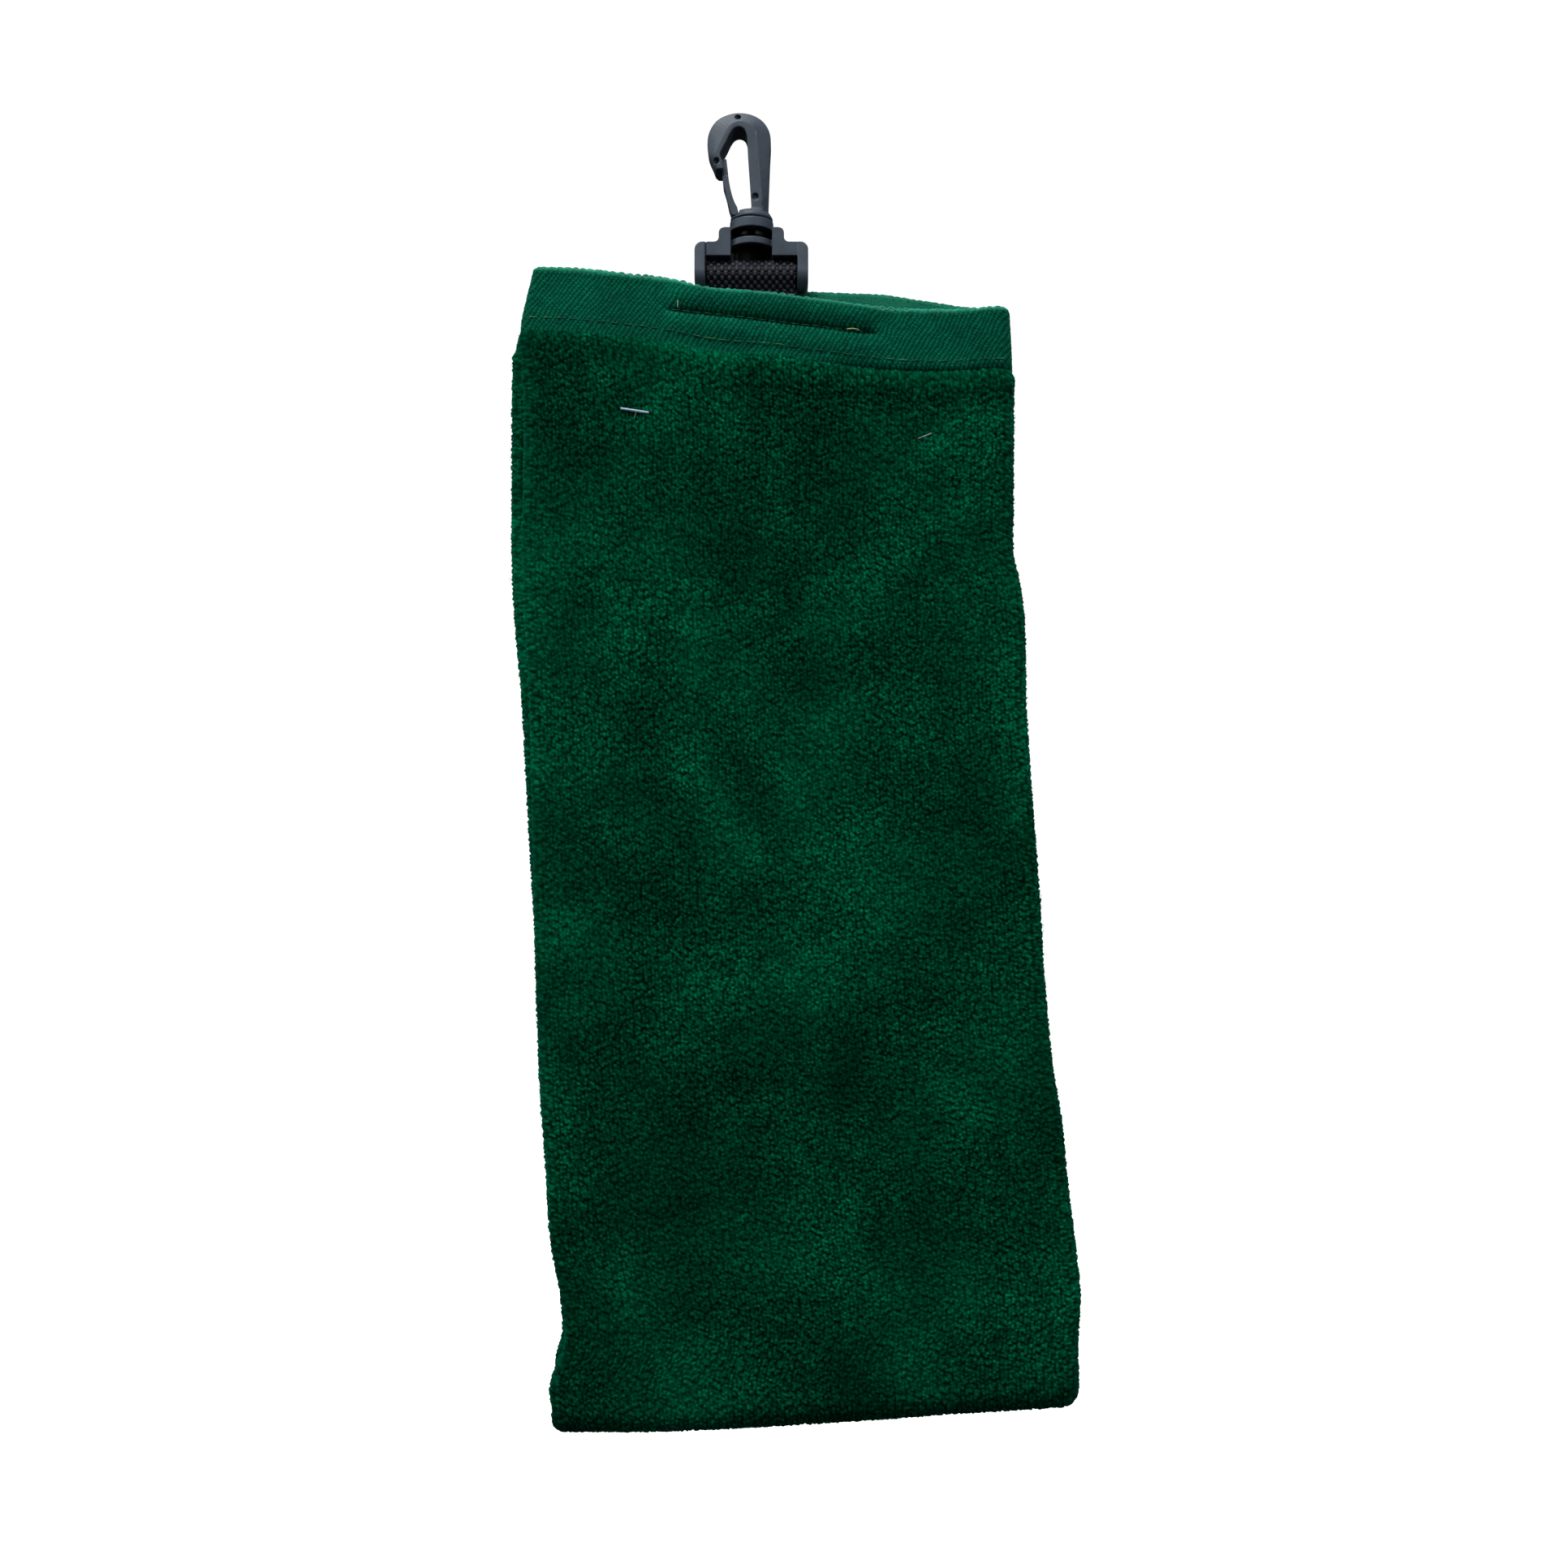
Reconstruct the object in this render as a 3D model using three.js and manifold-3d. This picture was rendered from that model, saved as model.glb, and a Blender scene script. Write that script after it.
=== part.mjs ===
// Golf towel on a swivel hook, in millimetres, +Z up, in the pose in which it hangs.
// The origin is the inside top of the hook's arch, on the hook's middle plane. +X is to the right
// as the towel's front is seen, and +Y points to the towel's back.
// The cloth is folded in thirds and then in half. A webbing loop sewn into its top joins it to the
// crossbar of a yoke, which turns on the stem of the hook.

import * as THREE from 'three';
import { mergeVertices } from 'three/addons/utils/BufferGeometryUtils.js';
import { ConvexGeometry } from 'three/addons/geometries/ConvexGeometry.js';
import Module from 'manifold-3d';

const wasm = await Module();
wasm.setup();

// ---- Driving dimensions -------------------------------------------------------------------

const GAP = 0.3; // clearance between pieces that touch or turn on each other
const PAST = 2; // how far a cutting solid runs past the surface that it cuts
const ROUND_STEPS = 48; // sides of a full circle
const SHORTEST_EDGE = 0.01; // shorter edges that joins and cuts leave are closed up
const WELD_DISTANCE = 1e-4; // vertices nearer than this are one
const CURVE_STEPS = 12; // straight pieces to each curve of an outline
const ROD_SIDES = 24; // sides of a cross bore or pin

const SWIVEL_X = 3.1; // the swivel axis, parallel to Z
const BAR_Z = -38.3; // the crossbar's axis, parallel to X
const BAR_RADIUS = 1.95;

// Hook frame
const HOOK_THICK = 8.4; // along Y, beside the eye
const RIM_THICK = 5.2; // along Y, at the outer rim
const COLLAR_RADIUS = 5.7;
const COLLAR_BOTTOM = -24;
const COLLAR_TOP = -21.3;
const COLLAR_RIM_HEIGHT = 0.7; // the collar's straight rim, above which its top slopes in
const COLLAR_SLOPE_INSET = 0.8; // how far in the top's slope ends
const COLLAR_CROWN_INSET = 2.4; // and where the nearly flat crown begins
const COLLAR_CROWN_RISE = 0.15;
const STEM_RADIUS = 2.4;
const HEAD_RADIUS = 3.8;
const HEAD_HEIGHT = 1.1; // the barb's straight rim
const HEAD_TIP = 1.1; // the lead-in cone under the rim
const SPLIT_WIDTH = 2; // the slot that lets the head squeeze through the ring
const SPLIT_TOP = -25.2;
const HEAD_TOP = -27.2;
const HEAD_BOTTOM = HEAD_TOP - HEAD_HEIGHT;
const GATE_SLOT = [-4.9, -3, -12.5, -7.2]; // the nose's seat for the gate: from x, to x, from z, to z
const COLLAR_NOTCH = [2, 3.2, -22.4, -21.9]; // a moulded mark in the collar's front: likewise
const COLLAR_NOTCH_Y = -4.6;
const BAND_SHARE_MAX = 0.8; // most of the bar's width that the flat band round the eye may take
const WEDGES_BETWEEN = 3; // wedges of the bar from each station to the next
const WEDGE_OVERLAP = 0.08; // as a share of a wedge
const DIMPLE_SIDES = 16;

// Gate
const GATE_THICK = 6; // along Y
const PIVOT_X = -1.45;
const PIVOT_Z = -22.1;
const ROOT_RADIUS = 1;
const LEAF_STEPS = 3; // straight pieces to each stretch of the leaf's curved edges
const TONGUE_FROM_Z = -12.6; // the leaf's tip is a thinner tongue above here
const TONGUE_STEP = 0.4; // off each face

// Yoke, with widths measured either way from the swivel axis
const RING_RADIUS = 5.85;
const RING_TOP = COLLAR_BOTTOM - GAP;
const RING_BOTTOM = -26.9;
const LOWER_RING_TOP = -29.6;
const LOWER_RING_BOTTOM = -31.4;
const LOWER_RING_BORE = 4.4;
const COLUMN_INSIDE = 5.5;
const COLUMN_OUTSIDE = 8.7;
const COLUMN_TOP = -26.7;
const COLUMN_CORNER = 1.4;
const SHOULDER_FILLET = 1.2;
const BASE_TOP = -30.5;
const BASE_BOTTOM = -34.3;
const BASE_THICK = 8.4; // along Y
const BASE_CHAMFER = 1.15; // height of the slope under the base's back half
const CHEEK_INSIDE = 12.3;
const CHEEK_OUTSIDE = 15.15;
const CHEEK_CORNER = 2.1; // round corners at the outer side of a cheek's top and bottom
const CHEEK_END_RADIUS = 4.7; // the round lower end, about the crossbar
const GROOVE_WIDTH = 0.35;
const GROOVE_DEPTH = 0.6;
const WALL_FROM_Y = 2; // the rings' housing is closed behind this plane
const CORNER_STEPS = 5; // straight pieces to a rounded corner
const BAR_SIDES = 32;

// Webbing
const WEBBING_WIDTH = 24;
const WEBBING_THICK = 1.3;
const LOOP_INNER_RADIUS = BAR_RADIUS + GAP;
const LOOP_OUTER_RADIUS = LOOP_INNER_RADIUS + WEBBING_THICK;
const WEBBING_END_Z = -61; // the sewn-in tails end here
const LOOP_STEPS = 20; // straight pieces to the tape's turn round the crossbar

// Cloth. Six layers: three in the front half and three in the back half.
const LAYER = 2.8;
const FRONT_FACE_TOP_Y = -4.4; // front face where the webbing spreads the layers
const FRONT_FACE_Y = -3.4; // front face lower down
const BACK_FACE_TOP_Y = 15.5;
const BACK_FACE_Y = FRONT_FACE_Y + 6 * LAYER;
const SPREAD_END_Z = -95; // the layers lie flat on each other below this height
const HALF_SLIT_TOP_Y = 7.4; // middle of the slit between the two halves
const HALF_SLIT_Y = (FRONT_FACE_Y + BACK_FACE_Y) / 2;
const HALF_SLIT = 0.6;
const SLIT_BEND_Z = -80; // below the hems, where the slit starts to lean to the front
const BOTTOM_FOLD_Z = -347.2; // lowest line of the fold, at X = 0
const BOTTOM_SLOPE = THREE.MathUtils.degToRad(2.9); // the fold rises to the right
const FOLD_HEIGHT = 9; // height of the round bottom fold
const ABOVE_TOWEL_Z = -30; // a height clear above the cloth, for cutting solids
const HEM_HEIGHT = 17;
const FREE_END_DROP = 1.5; // how far the free end stops below the hook end
const HEM_STITCH_DROP = 13.7;
const CLOTH_SCOOP_RADIUS = 5.2; // room in the cloth for the yoke's round cheek ends
const ACROSS_FROM_X = -90; // solids that cut right across the cloth run between these places
const ACROSS_TO_X = 120;
const OUTLINE_STEPS = 4; // straight pieces to each stretch of the outline's curves
const CUT_REACH = 20; // how far the cutting bands go past the cloth's sides and top

// Thread and tag pins
const THREAD_RADIUS = 0.35;
const PIN_BAR_RADIUS = 0.35;
const PIN_SHAFT_RADIUS = 0.3;
const SHAFT_SIDES = 12;
const STRAND_SIDES = 5; // straight pieces to a strand's section
const STRAND_STEPS = 4; // sections along a short strand
const THREAD_STEPS = 12;
const THREAD_INSET = 3; // how far the running stitch stays from each side edge
const LEFT_SIDE_SLOPE_INSET = 1; // less at the left, where the side slopes out below the corner

// Stations [inside x, inside z, outside x, outside z, band] along the hook's bar, from the foot of
// the spine, over the arch, to the tip of the nose. The band is the width of the flat face beside
// the eye, before the bar slopes to its rim.
const HOOK_STATIONS = [
  [3.15, -22.4, 7.55, -22.4, 3],
  [2.75, -15.5, 7.85, -14.0, 2.9],
  [2.35, -9.6, 8.1, -7.5, 2.9],
  [2.05, -5.2, 8.3, -3.6, 2.8],
  [1.95, -2.6, 7.9, -0.6, 2.7],
  [1.4, -0.9, 6.2, 2.1, 2.3],
  [0.6, -0.2, 3.4, 3.8, 1.8],
  [-0.4, 0, 0.1, 4.4, 1.6],
  [-1.6, -0.5, -3.0, 3.95, 1.5],
  [-2.6, -1.9, -6.15, 2.35, 1.4],
  [-3.6, -4.0, -8.2, -0.7, 1.4],
  [-4.7, -6.0, -8.7, -3.9, 1.4],
  [-5.2, -7.4, -8.4, -6.8, 1.6],
  [-4.5, -9.2, -7.35, -9.3, 1.7],
  [-4.35, -11.2, -6.6, -11.2, 1.5],
];

// Dimples in the hook's front face: [x, z, radius, y of the floor].
const HOOK_DIMPLES = [
  [-0.5, 2.9, 0.8, -2.2],
  [4.15, -18.6, 0.9, -3.4],
  [-6.2, -9.0, 0.8, -2.9],
];

// The gate leaf's two edges, from its free tip down to its root.
const GATE_OUTSIDE = [[-4.6, -8], [-4.6, -13.6], [-4.3, -15.2], [-3.7, -17.2], [-3.05, -20.2]];
const GATE_INSIDE = [
  [-0.7, -20.9], [-1.4, -19.6], [-2.15, -17.4], [-2.85, -14.2], [-3.3, -10.4], [-3.6, -8],
];

// The folded towel's outline, seen from the front.
const LEFT_EDGE = [
  [-55.7, -37.6], [-61, -62], [-61.6, -117], [-58.3, -183], [-53.9, -259], [-49.5, -320], [-49, -352],
];
const RIGHT_EDGE = [
  [72.7, -48.9], [74, -117], [77.7, -161], [81.4, -216], [86.5, -270], [91, -320], [89.5, -345],
];
const TOP_EDGE = [[-55.7, -37.6], [3.3, -43], [72.7, -48.9]];

// The loop seam's ends and the tag pins' places on the front face: [x, z].
const LOOP_SEAM = [[-18.3, -48.5], [35.6, -54.6]];
const PIN_LEFT = { at: [-28.1, -75.2], turn: -8.5, length: 7.7 };
const PIN_RIGHT = { at: [49.3, -81.9], turn: 21, length: 6.6 };

// ---- Materials ----------------------------------------------------------------------------

const FINISHES = {
  hookPlastic: { color: 0x3b434b, roughness: 0.55, metalness: 0 },
  webbing: { color: 0x121015, roughness: 0.9, metalness: 0 },
  terry: { color: 0x004b32, roughness: 1, metalness: 0 },
  hem: { color: 0x0f6441, roughness: 0.95, metalness: 0 },
  thread: { color: 0x2f8f63, roughness: 0.8, metalness: 0 },
  nylon: { color: 0xa9b8c4, roughness: 0.3, metalness: 0 },
};

// ---- Helpers ------------------------------------------------------------------------------

function solid(geometry) {
  geometry.deleteAttribute('normal');
  geometry.deleteAttribute('uv');
  const merged = mergeVertices(geometry, WELD_DISTANCE);
  return new wasm.Manifold(new wasm.Mesh({
    numProp: 3,
    vertProperties: new Float32Array(merged.attributes.position.array),
    triVerts: new Uint32Array(merged.index.array),
  }));
}

function joined(solids) {
  return solids.reduce((all, next) => all.add(next));
}

function mesh(name, body, finish) {
  const { vertProperties, triVerts } = body.simplify(SHORTEST_EDGE).getMesh();
  const geometry = new THREE.BufferGeometry();
  geometry.setAttribute('position', new THREE.BufferAttribute(vertProperties, 3));
  geometry.setIndex(new THREE.BufferAttribute(triVerts, 1));
  geometry.computeVertexNormals();
  const made = new THREE.Mesh(geometry, new THREE.MeshStandardMaterial(FINISHES[finish]));
  made.name = name;
  return made;
}

// A plate with its outline in the XZ plane, between two places along Y.
function plateXZ(shape, fromY, toY, curveSegments = CURVE_STEPS) {
  const depth = toY - fromY;
  const geometry = new THREE.ExtrudeGeometry(shape, { depth, bevelEnabled: false, curveSegments });
  geometry.rotateX(Math.PI / 2);
  geometry.translate(0, toY, 0);
  return solid(geometry);
}

// A bar with its outline in the YZ plane, between two places along X.
function barYZ(shape, fromX, toX, curveSegments = CURVE_STEPS) {
  const depth = toX - fromX;
  const geometry = new THREE.ExtrudeGeometry(shape, { depth, bevelEnabled: false, curveSegments });
  const toWorld = new THREE.Matrix4().makeBasis(
    new THREE.Vector3(0, 1, 0),
    new THREE.Vector3(0, 0, 1),
    new THREE.Vector3(1, 0, 0),
  );
  geometry.applyMatrix4(toWorld);
  geometry.translate(fromX, 0, 0);
  return solid(geometry);
}

function block(fromX, toX, fromY, toY, fromZ, toZ) {
  const geometry = new THREE.BoxGeometry(toX - fromX, toY - fromY, toZ - fromZ);
  geometry.translate((fromX + toX) / 2, (fromY + toY) / 2, (fromZ + toZ) / 2);
  return solid(geometry);
}

function rodX(radius, fromX, toX, y, z, sides = ROUND_STEPS) {
  const geometry = new THREE.CylinderGeometry(radius, radius, toX - fromX, sides);
  geometry.rotateZ(Math.PI / 2);
  geometry.translate((fromX + toX) / 2, y, z);
  return solid(geometry);
}

function rodY(radius, fromY, toY, x, z, sides = ROD_SIDES) {
  const geometry = new THREE.CylinderGeometry(radius, radius, toY - fromY, sides);
  geometry.translate(x, (fromY + toY) / 2, z);
  return solid(geometry);
}

// A turned solid about the swivel axis, from [radius, z] points that start and end on it.
function turned(points) {
  const profile = points.map(([radius, z]) => new THREE.Vector2(radius, z));
  const geometry = new THREE.LatheGeometry(profile, ROUND_STEPS);
  geometry.rotateX(Math.PI / 2);
  geometry.translate(SWIVEL_X, 0, 0);
  return solid(geometry);
}

function vectors(points) {
  return points.map(([x, z]) => new THREE.Vector2(x, z));
}

function polygon(points) {
  return new THREE.Shape(vectors(points));
}

// A round thread or bar through a list of points.
function strand(points, radius, steps = STRAND_STEPS) {
  const path = new THREE.CatmullRomCurve3(points.map((point) => new THREE.Vector3(...point)));
  const section = new THREE.Shape();
  section.absarc(0, 0, radius, 0, 2 * Math.PI);
  return solid(new THREE.ExtrudeGeometry(section, {
    steps, curveSegments: STRAND_SIDES, bevelEnabled: false, extrudePath: path,
  }));
}

// ---- Hook ---------------------------------------------------------------------------------

// The corners of the bar's section at one station: flat and thick by the eye, sloping to the rim.
function hookSection([insideX, insideZ, outsideX, outsideZ], band) {
  const across = Math.hypot(outsideX - insideX, outsideZ - insideZ);
  const share = Math.min(band / across, BAND_SHARE_MAX);
  const bandX = insideX + (outsideX - insideX) * share;
  const bandZ = insideZ + (outsideZ - insideZ) * share;
  return [-1, 1].flatMap((side) => [
    new THREE.Vector3(insideX, side * HOOK_THICK / 2, insideZ),
    new THREE.Vector3(bandX, side * HOOK_THICK / 2, bandZ),
    new THREE.Vector3(outsideX, side * RIM_THICK / 2, outsideZ),
  ]);
}

// Wedges along the hook's bar, on smooth curves through the stations. Each overlaps the next a little.
function hookBar() {
  const edge = (column) => new THREE.SplineCurve(
    HOOK_STATIONS.map((station) => new THREE.Vector2(station[column], station[column + 1])),
  );
  const [inside, outside] = [edge(0), edge(2)];
  const steps = (HOOK_STATIONS.length - 1) * WEDGES_BETWEEN;
  const bandAt = (along) => {
    const place = along * (HOOK_STATIONS.length - 1);
    const before = Math.min(Math.floor(place), HOOK_STATIONS.length - 2);
    const [from, to] = [HOOK_STATIONS[before][4], HOOK_STATIONS[before + 1][4]];
    return from + (to - from) * (place - before);
  };
  const sectionAt = (step) => {
    const along = Math.min(step / steps, 1);
    const corners = [...inside.getPoint(along).toArray(), ...outside.getPoint(along).toArray()];
    return hookSection(corners, bandAt(along));
  };
  return joined(Array.from({ length: steps }, (_, i) => (
    solid(new ConvexGeometry([...sectionAt(i), ...sectionAt(i + 1 + WEDGE_OVERLAP)]))
  )));
}

function hookFrame() {
  const collarAndStem = turned([
    [0, HEAD_BOTTOM - HEAD_TIP],
    [STEM_RADIUS + GAP, HEAD_BOTTOM - HEAD_TIP],
    [HEAD_RADIUS, HEAD_BOTTOM],
    [HEAD_RADIUS, HEAD_TOP],
    [STEM_RADIUS, HEAD_TOP],
    [STEM_RADIUS, COLLAR_BOTTOM],
    [COLLAR_RADIUS, COLLAR_BOTTOM],
    [COLLAR_RADIUS, COLLAR_BOTTOM + COLLAR_RIM_HEIGHT],
    [COLLAR_RADIUS - COLLAR_SLOPE_INSET, COLLAR_TOP - COLLAR_RIM_HEIGHT],
    [COLLAR_RADIUS - COLLAR_CROWN_INSET, COLLAR_TOP - COLLAR_CROWN_RISE],
    [0, COLLAR_TOP],
  ]);
  const frontY = -HOOK_THICK / 2;
  const split = block(
    SWIVEL_X - SPLIT_WIDTH / 2, SWIVEL_X + SPLIT_WIDTH / 2,
    -HEAD_RADIUS - PAST, HEAD_RADIUS + PAST,
    HEAD_BOTTOM - HEAD_TIP - PAST, SPLIT_TOP,
  );
  const gateSocket = rodY(ROOT_RADIUS + GAP, -COLLAR_RADIUS - PAST, COLLAR_RADIUS + PAST, PIVOT_X, PIVOT_Z);
  const dimples = HOOK_DIMPLES.map(([x, z, radius, floorY]) => (
    rodY(radius, frontY - PAST, floorY, x, z, DIMPLE_SIDES)
  ));
  const [slotFromX, slotToX, ...slotZ] = GATE_SLOT;
  const gateSlot = block(slotFromX, slotToX, -GATE_THICK / 2 - GAP, GATE_THICK / 2 + GAP, ...slotZ);
  const [notchFromX, notchToX, ...notchZ] = COLLAR_NOTCH;
  const notch = block(notchFromX, notchToX, -COLLAR_RADIUS - PAST, COLLAR_NOTCH_Y, ...notchZ);
  return hookBar().add(collarAndStem)
    .subtract(joined([split, gateSocket, gateSlot, notch, ...dimples]));
}

function gateLeaf() {
  const outline = new THREE.Shape();
  outline.moveTo(...GATE_OUTSIDE[0]);
  outline.splineThru(vectors(GATE_OUTSIDE.slice(1)));
  outline.lineTo(PIVOT_X - ROOT_RADIUS, PIVOT_Z);
  outline.lineTo(PIVOT_X + ROOT_RADIUS, PIVOT_Z);
  outline.lineTo(...GATE_INSIDE[0]);
  outline.splineThru(vectors(GATE_INSIDE.slice(1)));
  outline.closePath();
  const leaf = plateXZ(outline, -GATE_THICK / 2, GATE_THICK / 2, LEAF_STEPS);
  const root = rodY(ROOT_RADIUS, -GATE_THICK / 2, GATE_THICK / 2, PIVOT_X, PIVOT_Z);
  const tongueSides = [-1, 1].map((side) => {
    const [fromY, toY] = [side * (GATE_THICK / 2 - TONGUE_STEP), side * (GATE_THICK / 2 + PAST)]
      .sort((a, b) => a - b);
    return block(GATE_OUTSIDE[0][0] - PAST, GATE_INSIDE.at(-1)[0] + PAST, fromY, toY, TONGUE_FROM_Z, 0);
  });
  return leaf.add(root).subtract(joined(tongueSides));
}

// ---- Yoke ---------------------------------------------------------------------------------

// One side of the yoke seen from the front: the base, a fillet and a column, for side -1 or 1.
function shoulderOutline(side) {
  const x = (distance) => SWIVEL_X + side * distance;
  const arc = (centreDistance, z, radius, fromDeg, toDeg) => (
    Array.from({ length: CORNER_STEPS + 1 }, (_, i) => {
      const angle = THREE.MathUtils.degToRad(fromDeg + (toDeg - fromDeg) * i / CORNER_STEPS);
      return [x(centreDistance + radius * Math.cos(angle)), z + radius * Math.sin(angle)];
    })
  );
  return polygon([
    [x(COLUMN_INSIDE), BASE_BOTTOM],
    [x(CHEEK_INSIDE + GAP), BASE_BOTTOM],
    [x(CHEEK_INSIDE + GAP), BASE_TOP],
    ...arc(COLUMN_OUTSIDE + SHOULDER_FILLET, BASE_TOP + SHOULDER_FILLET, SHOULDER_FILLET, 270, 180),
    ...arc(COLUMN_OUTSIDE - COLUMN_CORNER, COLUMN_TOP - COLUMN_CORNER, COLUMN_CORNER, 0, 90),
    [x(COLUMN_INSIDE), COLUMN_TOP],
  ]);
}

// A cheek: a flat plate with a round lower end about the crossbar and rounded outer corners.
function cheek(side) {
  const x = (distance) => SWIVEL_X + side * distance;
  const [fromX, toX] = [x(CHEEK_INSIDE), x(CHEEK_OUTSIDE)].sort((a, b) => a - b);
  const halfThick = BASE_THICK / 2;
  const profile = new THREE.Shape();
  profile.moveTo(-halfThick, BASE_TOP);
  profile.lineTo(-CHEEK_END_RADIUS, BAR_Z);
  profile.absarc(0, BAR_Z, CHEEK_END_RADIUS, Math.PI, 2 * Math.PI);
  profile.lineTo(halfThick, BASE_TOP);
  const corner = (z, fromDeg, toDeg) => Array.from({ length: CORNER_STEPS + 1 }, (_, i) => {
    const angle = THREE.MathUtils.degToRad(fromDeg + (toDeg - fromDeg) * i / CORNER_STEPS);
    return [
      x(CHEEK_OUTSIDE - CHEEK_CORNER + CHEEK_CORNER * Math.cos(angle)),
      z + CHEEK_CORNER * Math.sin(angle),
    ];
  });
  const bottom = BAR_Z - CHEEK_END_RADIUS - GAP;
  const outline = polygon([
    [x(CHEEK_INSIDE - PAST), BASE_TOP],
    ...corner(BASE_TOP - CHEEK_CORNER, 90, 0),
    ...corner(bottom + CHEEK_CORNER, 0, -90),
    [x(CHEEK_INSIDE - PAST), bottom],
  ]);
  const front = plateXZ(outline, -CHEEK_END_RADIUS - PAST, CHEEK_END_RADIUS + PAST);
  return barYZ(profile, fromX, toX).intersect(front);
}

// The grooves that mark the cheek off from the base, on the front and the back.
function cheekGrooves(side) {
  const x = SWIVEL_X + side * (CHEEK_INSIDE - GROOVE_WIDTH / 2);
  const face = BASE_THICK / 2;
  return [-1, 1].map((facing) => {
    const [fromY, toY] = [facing * (face - GROOVE_DEPTH), facing * (face + PAST)].sort((a, b) => a - b);
    return block(
      x - GROOVE_WIDTH / 2, x + GROOVE_WIDTH / 2, fromY, toY, BASE_BOTTOM - PAST, BASE_TOP + PAST,
    );
  });
}

// The half-round wall behind the hook's head, from the upper ring down to the base's underside.
function housingWall() {
  const bottom = BASE_BOTTOM + GAP;
  const shell = turned([
    [LOWER_RING_BORE, bottom],
    [RING_RADIUS, bottom],
    [RING_RADIUS, RING_TOP],
    [LOWER_RING_BORE, RING_TOP],
    [LOWER_RING_BORE, bottom],
  ]);
  return shell.intersect(block(
    SWIVEL_X - RING_RADIUS - PAST, SWIVEL_X + RING_RADIUS + PAST,
    WALL_FROM_Y, RING_RADIUS + PAST,
    bottom - PAST, RING_TOP + PAST,
  ));
}

function yoke() {
  const upperRing = turned([
    [STEM_RADIUS + GAP, RING_BOTTOM],
    [RING_RADIUS, RING_BOTTOM],
    [RING_RADIUS, RING_TOP],
    [STEM_RADIUS + GAP, RING_TOP],
    [STEM_RADIUS + GAP, RING_BOTTOM],
  ]);
  const lowerRing = turned([
    [LOWER_RING_BORE, LOWER_RING_BOTTOM],
    [RING_RADIUS, LOWER_RING_BOTTOM],
    [RING_RADIUS, LOWER_RING_TOP],
    [LOWER_RING_BORE, LOWER_RING_TOP],
    [LOWER_RING_BORE, LOWER_RING_BOTTOM],
  ]);
  const halfThick = BASE_THICK / 2;
  const shoulders = [-1, 1].map((side) => plateXZ(shoulderOutline(side), -halfThick, halfThick));
  const barReach = CHEEK_INSIDE + GAP;
  const bar = rodX(BAR_RADIUS, SWIVEL_X - barReach, SWIVEL_X + barReach, 0, BAR_Z, BAR_SIDES);
  const underside = polygon([
    [0, BASE_BOTTOM],
    [0, BASE_BOTTOM - PAST],
    [halfThick + PAST, BASE_BOTTOM - PAST],
    [halfThick + PAST, BASE_BOTTOM + BASE_CHAMFER],
    [halfThick, BASE_BOTTOM + BASE_CHAMFER],
  ]);
  const chamfer = barYZ(underside, SWIVEL_X - CHEEK_INSIDE, SWIVEL_X + CHEEK_INSIDE);
  const body = joined([upperRing, lowerRing, housingWall(), ...shoulders]).subtract(chamfer);
  return joined([body, cheek(-1), cheek(1), bar])
    .subtract(joined([...cheekGrooves(-1), ...cheekGrooves(1)]));
}

// ---- Webbing loop -------------------------------------------------------------------------

// The tape round the crossbar, with its two tails sewn flat together between the cloth layers.
function webbingLoop() {
  const outline = new THREE.Shape();
  const leave = Math.asin(WEBBING_THICK / LOOP_OUTER_RADIUS);
  outline.absarc(0, BAR_Z, LOOP_OUTER_RADIUS, -Math.PI / 2 + leave, Math.PI * 1.5 - leave);
  outline.lineTo(-WEBBING_THICK, WEBBING_END_Z);
  outline.lineTo(WEBBING_THICK, WEBBING_END_Z);
  const inside = new THREE.Path();
  inside.absarc(0, BAR_Z, LOOP_INNER_RADIUS, 0, 2 * Math.PI, true);
  outline.holes.push(inside);
  return barYZ(outline, SWIVEL_X - WEBBING_WIDTH / 2, SWIVEL_X + WEBBING_WIDTH / 2, LOOP_STEPS);
}

// ---- Cloth --------------------------------------------------------------------------------

// The folded towel seen from the front, down past the bottom fold.
function clothOutline() {
  const outline = new THREE.Shape();
  outline.moveTo(...TOP_EDGE[0]);
  outline.splineThru(vectors(LEFT_EDGE.slice(1)));
  outline.lineTo(LEFT_EDGE.at(-1)[0], BOTTOM_FOLD_Z - 2 * FOLD_HEIGHT);
  outline.lineTo(RIGHT_EDGE.at(-1)[0], BOTTOM_FOLD_Z - 2 * FOLD_HEIGHT);
  outline.lineTo(...RIGHT_EDGE.at(-1));
  outline.splineThru(vectors(RIGHT_EDGE.slice(0, -1).reverse()));
  outline.lineTo(...TOP_EDGE[1]);
  outline.closePath();
  return outline;
}

// The band between the top edge, moved down by one distance, and the same edge moved down more.
function topBand(fromDrop, toDrop) {
  const [left, middle, right] = TOP_EDGE;
  const slopeLeft = (middle[1] - left[1]) / (middle[0] - left[0]);
  const slopeRight = (right[1] - middle[1]) / (right[0] - middle[0]);
  const edge = [
    [left[0] - CUT_REACH, left[1] - slopeLeft * CUT_REACH],
    middle,
    [right[0] + CUT_REACH, right[1] + slopeRight * CUT_REACH],
  ];
  return polygon([
    ...edge.map(([x, z]) => [x, z - fromDrop]),
    ...edge.toReversed().map(([x, z]) => [x, z - toDrop]),
  ]);
}

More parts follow.
